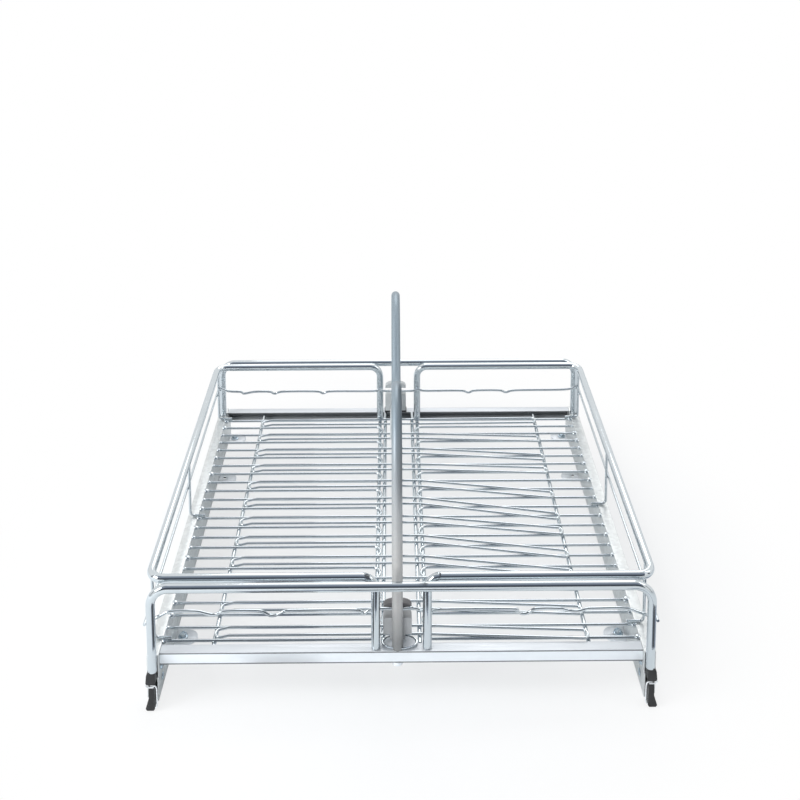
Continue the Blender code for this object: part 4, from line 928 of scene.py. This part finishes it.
class DRAWER_OT_mid_wires(bpy.types.Operator):
    """Builds the wavy wires across the front and the rear."""

    bl_idname = "drawer.mid_wires"
    bl_label = "Mid wires"
    bl_options = {"REGISTER", "UNDO"}
    # Waves as shares of half the wire's span and of the wave's height
    waves = {
        "front_mid_wire": (
            (-1.0, -2.1), (-0.975, -1.2), (-0.93, 0.0), (-0.83, 0.0), (-0.79, -0.55),
            (-0.76, -0.95), (-0.735, -0.5), (-0.70, 0.0), (-0.58, 0.0), (-0.55, -0.6),
            (-0.53, -1.25), (-0.505, -1.15), (-0.47, -0.1), (-0.44, 0.0), (-0.19, 0.0),
            (-0.155, -0.9), (-0.125, 0.0), (-0.06, 0.35), (0.0, 0.2), (0.05, 0.4),
            (0.115, -0.8), (0.16, 0.0), (0.44, 0.0), (0.465, -0.6), (0.485, -1.25),
            (0.51, -1.15), (0.545, 0.0), (0.64, 0.0), (0.68, -0.6), (0.715, -0.7),
            (0.75, -0.1), (0.78, 0.0), (0.90, 0.0), (0.96, -1.1), (1.0, -2.1),
        ),
        "rear_mid_wire": (
            (-1.0, 1.5), (-0.95, 0.3), (-0.88, 0.0), (-0.86, -0.6), (-0.80, 0.0), (-0.72, 0.0),
            (-0.69, -0.7), (-0.64, 0.0), (-0.46, 0.0), (-0.42, -0.7), (-0.37, 0.0), (-0.14, 0.0),
            (-0.11, 0.6), (-0.07, 0.0), (0.07, 0.0), (0.11, 0.6), (0.15, 0.0), (0.34, 0.0),
            (0.39, -0.7), (0.43, 0.0), (0.56, 0.0), (0.60, -0.7), (0.66, 0.0), (0.93, 0.2),
            (1.0, 1.5),
        ),
    }

    def execute(self, context):
        sizes, finish = context.scene.drawer_sizes, finishes()
        heights = (sizes.front_mid_height, sizes.rear_mid_height)
        for (node, shares), height in zip(self.waves.items(), heights):
            low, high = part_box(node)
            y, wave = (low.y + high.y) / 2, sizes.wave_height
            points = [(across * high.x, y, height + up * wave) for across, up in shares]
            path = smooth_path(points, steps=6)
            single_rod(node, path, sizes.mid_wire, finish["chrome"], sides=16)
        return {"FINISHED"}


class DRAWER_OT_divider_rods(bpy.types.Operator):
    """Builds the two nested M-shaped rods of the divider."""

    bl_idname = "drawer.divider_rods"
    bl_label = "Divider rods"
    bl_options = {"REGISTER", "UNDO"}
    # Each rod's half, as shares of its half span and of its height
    shapes = {
        "outer_divider_rod": (
            (1.0, 0.0), (1.0, 0.19), (0.990, 0.29), (0.966, 0.41), (0.935, 0.55),
            (0.905, 0.665), (0.8645, 0.765), (0.815, 0.845), (0.754, 0.912), (0.671, 0.970),
            (0.612, 0.993), (0.554, 1.0), (0.485, 0.988), (0.40, 0.948), (0.29, 0.88),
            (0.18, 0.805), (0.085, 0.742), (0.0, 0.7185),
        ),
        "inner_divider_rod": (
            (1.0, 0.0), (1.0, 0.065), (0.990, 0.19), (0.963, 0.358), (0.905, 0.63),
            (0.86, 0.765), (0.805, 0.865), (0.745, 0.935), (0.68, 0.982), (0.596, 1.0),
            (0.52, 0.985), (0.43, 0.935), (0.3048, 0.857), (0.171, 0.765), (0.075, 0.722),
            (0.0, 0.7124),
        ),
    }
    # The smooth curve rises above its points by less than this, so the rod stays in its box
    headroom = 0.0001

    def execute(self, context):
        sizes, finish = context.scene.drawer_sizes, finishes()
        for node, shares in self.shapes.items():
            low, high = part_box(node)
            r = sizes.divider_wire / 2
            x, front, rear = (low.x + high.x) / 2, low.y + r, high.y - r
            foot_front, foot_rear = self.feet(node, low, high)
            rise = high.z - r - foot_front - self.headroom
            middle, half = (front + rear) / 2, (rear - front) / 2
            points = [(x, middle - along * half, foot_front + up * rise) for along, up in shares]
            back = [(x, middle + along * half, foot_front + up * rise) for along, up in shares]
            points += back[-2::-1]
            points[-1] = (x, rear, foot_rear)
            path = smooth_path(points, steps=8)
            single_rod(node, path, sizes.divider_wire, finish["rod"], node)
        return {"FINISHED"}

    def feet(self, node, low, high):
        """The heights of a rod's two lower ends."""
        corners = [v.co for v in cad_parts[node].data.vertices]
        middle = (low.y + high.y) / 2
        front = min(c.z for c in corners if c.y < middle)
        rear = min(c.z for c in corners if c.y > middle)
        return front, rear


class DRAWER_OT_divider_feet(bpy.types.Operator):
    """Dresses the moulded feet, knobs, saddle plate, pad, spigot and springs."""

    bl_idname = "drawer.divider_feet"
    bl_label = "Divider feet"
    bl_options = {"REGISTER", "UNDO"}
    spring_wire, spring_turns = 0.0008, 4
    # Rings of the saddle plate from the underside out over the rim and in again, as shares of
    # its half size and of its thickness
    plate_rings = (
        (0.0, 0.0), (0.93, 0.0), (0.98, 0.12), (1.0, 0.45), (0.985, 0.85), (0.95, 1.0),
        (0.90, 0.92), (0.86, 0.62), (0.82, 0.50), (0.0, 0.50),
    )
    # The strips between those rings that are the bright rim
    plate_rim = range(2, 7)
    pin_slot_width = 0.0066

    def execute(self, context):
        sizes, finish = context.scene.drawer_sizes, finishes()
        for word, tone in (("front", "moulding"), ("rear", "rear_knob")):
            foot, knob = word + "_divider_foot", word + "_lock_knob"
            softened(foot, foot + "_moulding", finish[tone], DRAWER, width=0.0008)
            softened(knob, knob + "_moulding", finish[word + "_knob"], knob, width=0.0010)
            self.spring(word + "_lock_spring", word + "_lock_pull", finish)
        softened(
            "rear_pad", "rear_pad_moulding", finish["black"], DRAWER, width=0.0004, segments=2
        )
        self.saddle(sizes, finish)
        self.spigot(finish)
        return {"FINISHED"}

    def spring(self, node, joint, finish):
        """The coil over the lock pin, which the pulled knob presses together."""
        low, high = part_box(node)
        wire, steps = self.spring_wire, 24
        middle, radius = (low + high) / 2, (high.x - low.x - wire) / 2
        bottom, top = low.z + wire / 2, high.z - wire / 2
        count, points = self.spring_turns * steps, []
        for step in range(count + 1):
            angle, z = 2 * math.pi * step / steps, bottom + (top - bottom) * step / count
            x, y = radius * math.cos(angle), radius * math.sin(angle)
            points.append((middle.x + x, middle.y + y, z))
        coil = wires(node + "_coil", [(points, wire, False)], finish["spring"], sides=8)
        carried(coil, DRAWER, node, node)
        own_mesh(coil)

    def saddle(self, sizes, finish):
        """The oval plate with a rolled rim, notched for the rod and slotted for the lock pin."""
        node = "front_saddle_plate"
        low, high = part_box(node)
        middle, half = (low + high) / 2, (high - low) / 2
        shape = bmesh.new()
        steps, rings = 64, []
        for share, up in self.plate_rings:
            z = low.z + (high.z - low.z) * up
            if share:
                rings.append(level_ring(shape, middle, half.x * share, half.y * share, z, steps))
            else:
                rings.append([shape.verts.new((middle.x, middle.y, z))] * steps)
        for step, (a, b) in enumerate(zip(rings, rings[1:])):
            for k in range(steps):
                m = (k + 1) % steps
                face = shape.faces.new(dict.fromkeys((a[k], a[m], b[m], b[k])))
                face.material_index = int(step in self.plate_rim)
        plate = placed("saddle_plate", shape, finish["plate"], finish["chrome"])
        rod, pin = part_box("outer_divider_rod"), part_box("front_lock_knob")
        x, r = (rod[0].x + rod[1].x) / 2, sizes.divider_wire / 2
        # The notch goes right through the plate, and the slot runs from the pin out to the rear
        outline = [(0, 0), (r + GAP, 0), (r + GAP, 0.012), (0, 0.012)]
        place = (x, rod[0].y + r, low.z - 0.004)
        notch = turned("notch", outline, 40, place, "Z", finish["plate"])
        pin_y = (pin[0].y + pin[1].y) / 2
        reach = (high.y + 0.002 - pin_y) / 2
        slot = block("slot", (self.pin_slot_width / 2, reach, 0.01), (x, pin_y + reach, middle.z))
        carried(finished(cut_away(finished(plate), notch, slot)), DRAWER, node, node)

    def spigot(self, finish):
        """The bolt whose rounded head shows under the front cross bar."""
        node = "outer_rod_spigot"
        low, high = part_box(node)
        middle, end = (low + high) / 2, high.z - low.z
        shank, head, height = 0.0025, (high.x - low.x) / 2, 0.0042
        profile = (
            (0, 0), (head * 0.78, 0), (head * 0.92, 0.0005), (head, 0.0014),
            (head, height - 0.0005), (head - 0.0005, height), (shank, height),
            (shank, end - 0.001), (shank - 0.001, end), (0, end),
        )
        bolt = turned("spigot_bolt", profile, 40, (middle.x, middle.y, low.z), "Z", finish["plate"])
        carried(bolt, DRAWER, node, node)


class DRAWER_OT_pressed_steel(bpy.types.Operator):
    """Dresses the cross bars, the rails and the feet."""

    bl_idname = "drawer.pressed_steel"
    bl_label = "Pressed steel"
    bl_options = {"REGISTER", "UNDO"}

    def execute(self, context):
        finish = finishes()
        for node in ("front_cross_bar", "rear_cross_bar"):
            softened(node, node + "_channel", finish["zinc"], DRAWER, width=0.0009)
        for _, word in SIDES:
            for kind, body in (("_moving", DRAWER), ("_fixed", RAILS)):
                node, strip = word + kind + "_rail", word + kind + "_strip"
                softened(node, strip, finish["rail"], body, width=0.0005)
            for place in ("front", "middle", "rear"):
                node = f"{word}_{place}_foot"
                softened(node, node + "_plate", finish["zinc"], RAILS, width=0.0003, segments=2)
        return {"FINISHED"}


class DRAWER_OT_mouldings(bpy.types.Operator):
    """Dresses the black plugs in the rails' front ends, their bright edges and the rollers."""

    bl_idname = "drawer.mouldings"
    bl_label = "Mouldings"
    bl_options = {"REGISTER", "UNDO"}
    # Heights of each plug, and how much its front narrows there on the inner and outer side
    waists = (
        ("_fixed", RAILS, (
            (0.0, 0.0018, 0.0012), (0.0045, 0.0020, 0.0014), (0.009, 0.0026, 0.0036),
            (0.030, 0.0026, 0.0032),
        )),
        ("_moving", DRAWER, (
            (0.030, 0.0012, 0.0006), (0.037, 0.0016, 0.0022), (0.060, 0.0016, 0.0026),
        )),
    )
    # Points of each rail's cut edge, as distances from the middle and heights
    edges = (
        ("_moving_rail", DRAWER, (
            (0.2802, 0.0312), (0.2797, 0.0294), (0.2778, 0.0281), (0.2745, 0.0280),
            (0.2714, 0.0281),
        )),
        ("_fixed_rail", RAILS, (
            (0.2750, 0.0303), (0.2715, 0.0302), (0.2693, 0.0293), (0.2684, 0.0270),
            (0.2681, 0.0230), (0.2681, 0.0080), (0.2688, 0.0052), (0.2712, 0.0040),
            (0.2748, 0.0052), (0.2780, 0.0032),
        )),
    )
    # The plugs narrow over this depth, and the edges stand this far behind the plugs' faces
    waist_depth, edge_depth = 0.0125, 0.0010
    roller_bore = 0.00255

    def execute(self, context):
        sizes, finish = context.scene.drawer_sizes, finishes()
        for side, word in SIDES:
            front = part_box(word + "_fixed_rail_cap")[0].y
            for kind, body, levels in self.waists:
                node, name = word + kind + "_rail_cap", word + kind + "_plug"
                plug = softened(node, name, finish["black"], body, width=0.0006)
                self.waist(plug, side, front + self.waist_depth, levels)
            for rail, body, corners in self.edges:
                points = [(side * x, front + self.edge_depth, z) for x, z in corners]
                run = (smooth_path(points, steps=6), sizes.edge_wire, False)
                edge = wires(word + rail + "_edge", [run], finish["edge"], sides=12)
                carried(edge, body, word + rail)
            for place in ("front", "rear"):
                self.roller(f"{word}_{place}_roller", finish)
        return {"FINISHED"}

    def waist(self, plug, side, depth, levels):
        """Narrows the front of a plug, as its levels say."""
        spots = [v for v in plug.data.vertices if v.co.y < depth]
        inner = min(abs(v.co.x) for v in spots)
        outer = max(abs(v.co.x) for v in spots)
        for spot in spots:
            height = min(max(spot.co.z, levels[0][0]), levels[-1][0])
            for (z0, in0, out0), (z1, in1, out1) in zip(levels, levels[1:]):
                if z0 <= height <= z1:
                    part = (height - z0) / (z1 - z0)
                    inwards = in0 + (in1 - in0) * part
                    outwards = out0 + (out1 - out0) * part
            across = (abs(spot.co.x) - inner) / (outer - inner)
            spot.co.x = side * (inner + inwards + across * (outer - inner - inwards - outwards))

    def roller(self, node, finish):
        """A wheel with a crowned tread and a recessed web on both faces."""
        low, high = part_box(node)
        half, rim, bore = (high.x - low.x) / 2, (high.z - low.z) / 2, self.roller_bore
        face = (
            (bore, -half), (bore + 0.002, -half), (bore + 0.0025, -half * 0.5),
            (rim - 0.003, -half * 0.5), (rim - 0.0025, -half), (rim - 0.0008, -half),
            (rim - 0.0002, -half * 0.75),
        )
        other = [(radius, -along) for radius, along in reversed(face)]
        profile = (*face, (rim, 0), *other, face[0])
        wheel = turned(node + "_wheel", profile, 48, (low + high) / 2, "X", finish["nylon"])
        carried(wheel, node, node, node)


class DRAWER_OT_fasteners(bpy.types.Operator):
    """Builds the foot bolts, the rail screws and the riveted axles."""

    bl_idname = "drawer.fasteners"
    bl_label = "Fasteners"
    bl_options = {"REGISTER", "UNDO"}
    # Radii of the shanks, and half sizes of the pan head's cross recess
    bolt_shank, screw_shank, axle_shank = 0.0021, 0.0016, 0.00235
    recess_depth, recess_reach, recess_width = 0.0009, 0.0023, 0.0004

    def execute(self, context):
        finish = finishes()
        for side, word in SIDES:
            for place, way, body in (("front", -side, RAILS), ("rear", side, DRAWER)):
                self.foot_bolt(f"{word}_{place}_foot_bolt", finish)
                self.axle(f"{word}_{place}_axle", way, body, finish)
            self.rail_screw(side, word + "_rail_screw", finish)
        return {"FINISHED"}

    def foot_bolt(self, node, finish):
        """A flanged hexagon head with a dished top, and its shank."""
        low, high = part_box(node)
        middle, base = (low + high) / 2, low.z + 0.002
        flange, shank = (high.x - low.x) / 2, self.bolt_shank
        profile = (
            (0, low.z), (shank, low.z), (shank, base), (flange, base), (flange, base + 0.0004),
            (flange * 0.86, base + 0.0010), (0.0038, base + 0.0012), (0, base + 0.0012),
        )
        place = (middle.x, middle.y, 0)
        washer = turned(node + "_flange", profile, 40, place, "Z", finish["screw"])
        carried(washer, RAILS, node, node)
        shape = bmesh.new()
        # The hexagon narrows at its corners' chamfer, and its top is dished
        levels = (
            (0.0046, base + 0.0010), (0.0046, high.z - 0.0006), (0.0041, high.z),
            (0.0032, high.z), (0.0027, high.z - 0.0007),
        )
        rings = [level_ring(shape, middle, r, r, z, 6, 0.5) for r, z in levels]
        for a, b in zip(rings, rings[1:]):
            for k in range(6):
                m = (k + 1) % 6
                shape.faces.new((a[k], a[m], b[m], b[k]))
        shape.faces.new(rings[-1])
        shape.faces.new(rings[0])
        carried(finished(placed(node + "_hexagon", shape, finish["screw"])), RAILS, node)

    def rail_screw(self, side, node, finish):
        """A pan head with a cross recess."""
        low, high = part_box(node)
        near, far = reaches(node)
        centre = (side * near, (low.y + high.y) / 2, (low.z + high.z) / 2)
        head, end, shank = (high.z - low.z) / 2, far - near, self.screw_shank
        profile = (
            (0, 0), (head * 0.45, 0.0001), (head * 0.75, 0.0005), (head * 0.94, 0.0013),
            (head, 0.0026), (shank, 0.0026), (shank, end - 0.001), (0.0004, end), (0, end),
        )
        profile = [(radius, side * along) for radius, along in profile]
        screw = turned(node + "_pan_head", profile, 32, centre, "X", finish["screw"])
        depth, reach, width = self.recess_depth, self.recess_reach, self.recess_width
        slots = [block("slot", half, centre) for half in (
            (depth, reach, width), (depth, width, reach),
        )]
        carried(finished(cut_away(screw, *slots), 30), DRAWER, node, node)

    def axle(self, node, way, body, finish):
        """A riveted pin: a flat head at one end and a domed one at the other."""
        low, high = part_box(node)
        # The solid's pin has 12 sides, and the rivet is as wide as its corners
        head = (high.z - low.z) / 2 / math.cos(math.pi / 12)
        half, shank = (high.x - low.x) / 2, self.axle_shank
        profile = (
            (0, -half), (head - 0.0002, -half), (head, -half + 0.0003), (head, -half + 0.0006),
            (shank, -half + 0.0006), (shank, half - 0.0011), (head, half - 0.0011),
            (head * 0.93, half - 0.0005), (head * 0.70, half - 0.0001), (0, half),
        )
        profile = [(radius, way * along) for radius, along in profile]
        pin = turned(node + "_rivet", profile, 32, (low + high) / 2, "X", finish["screw"])
        carried(pin, body, node, node)


class DRAWER_OT_stage(bpy.types.Operator):
    """Sets the pale floor, the soft light, the dark room that chrome mirrors, and the camera."""

    bl_idname = "drawer.stage"
    bl_label = "Stage"
    bl_options = {"REGISTER", "UNDO"}
    # Half the floor's width, and how far it lies under the rails
    floor_half, floor_drop = 20.0, 0.0005
    # Name, half width, radius, first and last elevation, turn about Z, lightest share
    cloths = (
        ("cloth_front", 1.9, 2.3, 12, 84, 0, 1.0),
        ("cloth_left", 0.16, 2.2, 3, 70, -74, 0.5),
        ("cloth_right", 0.16, 2.2, 3, 70, 68, 0.5),
    )
    # Name, place, size, power, and whether mirrors see it
    soft_boxes = (
        ("soft_box_left", (-2.0, -1.0, 1.7), 1.4, 46.0, True),
        ("soft_box_right", (1.8, -0.4, 2.0), 1.2, 9.0, True),
        ("soft_box_back", (0.2, 1.8, 2.2), 1.6, 16.0, True),
        ("fill_front", (-0.9, -2.1, 0.8), 1.2, 16.0, False),
    )
    # The photograph's perspective: its width, focal length and horizon in pixels, the camera's
    # angles in degrees, and its place, on Y from the line that the floor wires are counted from
    photo_width, focal_length, horizon = 800.0, 1091.85, -14.72
    pitch, yaw, roll = 7.528, 0.449, -0.126
    stand = (-0.0088, -1.1015, 0.9451)

    def execute(self, context):
        colours = context.scene.drawer_colours
        self.floor(colours)
        self.dark_room(colours)
        self.cards(colours)
        self.world(colours)
        self.lamps()
        self.camera(context.scene)
        context.scene.view_settings.view_transform = "Standard"
        return {"FINISHED"}

    def floor(self, colours):
        """A matt painted floor, which the camera sees as pure white away from the drawer."""
        # Paint dries mottled over some 80 mm
        mottle = (0.08, 3.0)
        material, tree, shader, place = surface(
            "Pale studio floor, matt paint",
            (mottle, shade(colours.floor, 0.99), linear(colours.floor)),
            Roughness=0.9, Specular_IOR_Level=0.1,
        )
        reach = add(tree, "ShaderNodeVectorMath", {"operation": "LENGTH"}, {"Vector": place})
        span = {
            "Value": reach.outputs["Value"], "From Min": 0.24, "From Max": 0.55, "To Min": 0.60,
            "To Max": 1.0,
        }
        away = add(tree, "ShaderNodeMapRange", {"interpolation_type": "SMOOTHSTEP"}, span)
        ray = add(tree, "ShaderNodeLightPath").outputs["Is Camera Ray"]
        seen = {0: away.outputs["Result"], 1: ray}
        seen = add(tree, "ShaderNodeMath", {"operation": "MULTIPLY"}, seen).outputs[0]
        white = add(tree, "ShaderNodeEmission", {}, {"Color": (1, 1, 1, 1), "Strength": 1.0})
        mixed = {0: seen, 1: shader.outputs["BSDF"], 2: white.outputs["Emission"]}
        mixed = add(tree, "ShaderNodeMixShader", {}, mixed).outputs[0]
        tree.links.new(mixed, tree.nodes["Material Output"].inputs["Surface"])
        shape = bmesh.new()
        bmesh.ops.create_grid(shape, x_segments=2, y_segments=2, size=self.floor_half)
        obj = placed("studio_floor", shape, material)
        obj.location.z = -self.floor_drop

    def dark_room(self, colours):
        """Dark cloths that only mirrors see: a curved one behind the camera, two at the sides."""
        for name, half_width, radius, start, end, turn, lightest in self.cloths:
            label = "Dark studio " + name.replace("_", " ")
            material, tree, shader, place = surface(label, **PAPER)
            height = add(tree, "ShaderNodeSeparateXYZ", {}, {"Vector": place}).outputs["Z"]
            # Darkest as high as the camera stands, and lighter towards the lamps overhead
            span = {"Value": height, "From Min": 1.25, "From Max": 2.3, "To Max": lightest}
            rise = add(tree, "ShaderNodeMapRange", {"interpolation_type": "SMOOTHSTEP"}, span)
            coat = (rise.outputs["Result"], linear(colours.dim))
            layered(tree, shader, linear(colours.dark), (coat,), "Emission Color")
            shape = bmesh.new()
            steps, rows = 24, []
            for k in range(steps + 1):
                angle = math.radians(start + (end - start) * k / steps)
                y, z = -radius * math.cos(angle), radius * math.sin(angle)
                rows.append([shape.verts.new((x, y, z)) for x in (-half_width, half_width)])
            aside = Matrix.Rotation(math.radians(turn), 3, "Z")
            self.strip(shape, rows)
            bmesh.ops.rotate(shape, cent=(0, 0, 0), matrix=aside, verts=shape.verts)
            self.hang(name, shape, material)

    def cards(self, colours):
        """Card fans on the floor and beside the column, which draw the uprights' dark stripes."""
        handle, rim, rod = (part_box(n) for n in ("front_handle", "right_rim", "outer_divider_rod"))
        leg, leg_y = handle[1].x - 0.006, (handle[0].y + handle[1].y) / 2
        post, post_y = rim[0].x + 0.004, rim[0].y
        # Place, nearest and furthest reach of each fan, then first and last angle from the front
        legs = ((-leg, leg_y, 0.095, 0.175), (leg, leg_y, 0.095, 0.175))
        posts = ((-post, post_y, 0.140, 0.30), (post, post_y, 0.140, 0.30))
        for paper, hex_colour, level, angles in (
            ("grey", colours.dim, 0.0010, ((30, 150), (4, 122), (-34, 38), (-36, 36))),
            ("dark", colours.card, 0.0015, ((44, 98), (18, 72), (-16, 20), (-18, 18))),
        ):
            # The pulp is mottled over some 50 mm
            pulp = ((0.05, 2.0), shade(hex_colour, 0.7), shade(hex_colour, 1.3))
            label = f"Card, {paper} paper"
            material = surface(label, pulp, target="Emission Color", **PAPER)[0]
            shape = bmesh.new()
            for (x, y, near, far), (start, end) in zip((*legs, *posts), angles):
                rows = []
                for k in range(9):
                    angle = math.radians(start + (end - start) * k / 8)
                    across, along = math.sin(angle), -math.cos(angle)
                    rows.append([
                        shape.verts.new((x + across * r, y + along * r, level)) for r in (near, far)
                    ])
                self.strip(shape, rows)
            if paper == "dark":
                # One more stands on edge above the drawer, to the right of the divider
                x, y = (rod[0].x + rod[1].x) / 2 + 0.035, rod[0].y
                corners = ((y - 0.14, 0.215), (y + 0.20, 0.215), (y + 0.20, 0.42), (y - 0.14, 0.42))
                shape.faces.new([shape.verts.new((x, along, z)) for along, z in corners])
            self.hang("card_" + paper, shape, material)

    def strip(self, shape, rows):
        """Faces between rows of two points."""
        for a, b in zip(rows, rows[1:]):
            shape.faces.new((a[0], a[1], b[1], b[0]))

    def hang(self, name, shape, material):
        """Places a cloth or card that is seen in mirrors alone, and casts no shadow."""
        obj = placed(name, shape, material)
        for ray in ("camera", "diffuse", "shadow", "transmission"):
            setattr(obj, "visible_" + ray, False)

    def world(self, colours):
        """Even light from all round; seen directly or in metal, it is plain white."""
        world = bpy.data.worlds.new("Even studio light")
        bpy.context.scene.world = world
        world.use_nodes = True
        tree = world.node_tree
        tree.nodes.clear()
        rays = add(tree, "ShaderNodeLightPath").outputs
        seen = rays["Is Camera Ray"]
        for kind in ("Is Glossy Ray", "Is Transmission Ray"):
            either = {0: seen, 1: rays[kind]}
            seen = add(tree, "ShaderNodeMath", {"operation": "MAXIMUM"}, either).outputs[0]
        soft = {"Color": linear(colours.sky), "Strength": 0.50}
        soft = add(tree, "ShaderNodeBackground", {}, soft).outputs[0]
        white = {"Color": (1, 1, 1, 1), "Strength": 1.0}
        white = add(tree, "ShaderNodeBackground", {}, white).outputs[0]
        mixed = add(tree, "ShaderNodeMixShader", {}, {0: seen, 1: soft, 2: white})
        add(tree, "ShaderNodeOutputWorld", {}, {"Surface": mixed.outputs[0]})

    def lamps(self):
        """Soft boxes to the left, to the right and behind, and a fill that mirrors don't see."""
        for name, place, size, power, mirrored in self.soft_boxes:
            light = bpy.data.lights.new(name, "AREA")
            light.shape = "SQUARE"
            light.size = size
            light.energy = power
            obj = bpy.data.objects.new(name, light)
            bpy.context.scene.collection.objects.link(obj)
            obj.location = place
            obj.visible_glossy = mirrored
            # All of them aim at the middle of the drawer
            aim = Vector((0, 0, 0.1)) - Vector(place)
            obj.rotation_euler = aim.to_track_quat("-Z", "Y").to_euler()

    def camera(self, scene):
        """The photograph's view: high in front, nearly level, with the lens shifted down."""
        data = bpy.data.cameras.new("photo_camera")
        data.sensor_width = 36.0
        data.lens = self.focal_length * data.sensor_width / self.photo_width
        data.shift_y = -(self.photo_width / 2 - self.horizon) / self.photo_width
        data.clip_end = 100.0
        obj = bpy.data.objects.new("photo_camera", data)
        scene.collection.objects.link(obj)
        pitch, yaw, roll = (math.radians(angle) for angle in (self.pitch, self.yaw, self.roll))
        forward = Vector((
            math.sin(yaw) * math.cos(pitch), math.cos(yaw) * math.cos(pitch), -math.sin(pitch)
        ))
        level = Vector((math.cos(yaw), -math.sin(yaw), 0.0))
        upright = level.cross(forward)
        right = level * math.cos(roll) + upright * math.sin(roll)
        up = upright * math.cos(roll) - level * math.sin(roll)
        turn = Matrix((right, up, -forward)).transposed().to_4x4()
        place = Vector(self.stand) + Vector((0.0, front_line(), 0.0))
        obj.matrix_world = Matrix.Translation(place) @ turn
        scene.camera = obj


OPERATORS = (
    DRAWER_OT_rims,
    DRAWER_OT_handles,
    DRAWER_OT_floor_mats,
    DRAWER_OT_centre_grid,
    DRAWER_OT_side_wires,
    DRAWER_OT_mid_wires,
    DRAWER_OT_divider_rods,
    DRAWER_OT_divider_feet,
    DRAWER_OT_pressed_steel,
    DRAWER_OT_mouldings,
    DRAWER_OT_fasteners,
    DRAWER_OT_stage,
)


class DRAWER_PT_pieces(bpy.types.Panel):
    """Lists the drawer's sizes, colours and pieces."""

    bl_idname = "DRAWER_PT_pieces"
    bl_label = "Pull-out wire drawer"
    bl_space_type = "VIEW_3D"
    bl_region_type = "UI"
    bl_category = "Drawer"

    def draw(self, context):
        layout = self.layout
        for title, group in (
            ("Sizes", context.scene.drawer_sizes), ("Colours", context.scene.drawer_colours),
        ):
            box = layout.box()
            box.label(text=title)
            for key in group.__annotations__:
                box.prop(group, key)
        for operator in OPERATORS:
            layout.operator(operator.bl_idname)


CLASSES = (DrawerSizes, DrawerColours, *OPERATORS, DRAWER_PT_pieces)


def register():
    """Makes the drawer's classes and its settings known to Blender."""
    for item in CLASSES:
        bpy.utils.register_class(item)
    bpy.types.Scene.drawer_sizes = PointerProperty(type=DrawerSizes)
    bpy.types.Scene.drawer_colours = PointerProperty(type=DrawerColours)


def unregister():
    """Takes the drawer's settings and classes out of Blender again."""
    del bpy.types.Scene.drawer_colours
    del bpy.types.Scene.drawer_sizes
    for item in reversed(CLASSES):
        bpy.utils.unregister_class(item)


def main():
    """Builds every piece and the stage."""
    register()
    for operator in OPERATORS:
        group, name = operator.bl_idname.split(".")
        getattr(getattr(bpy.ops, group), name)()


if __name__ == "__main__":
    main()
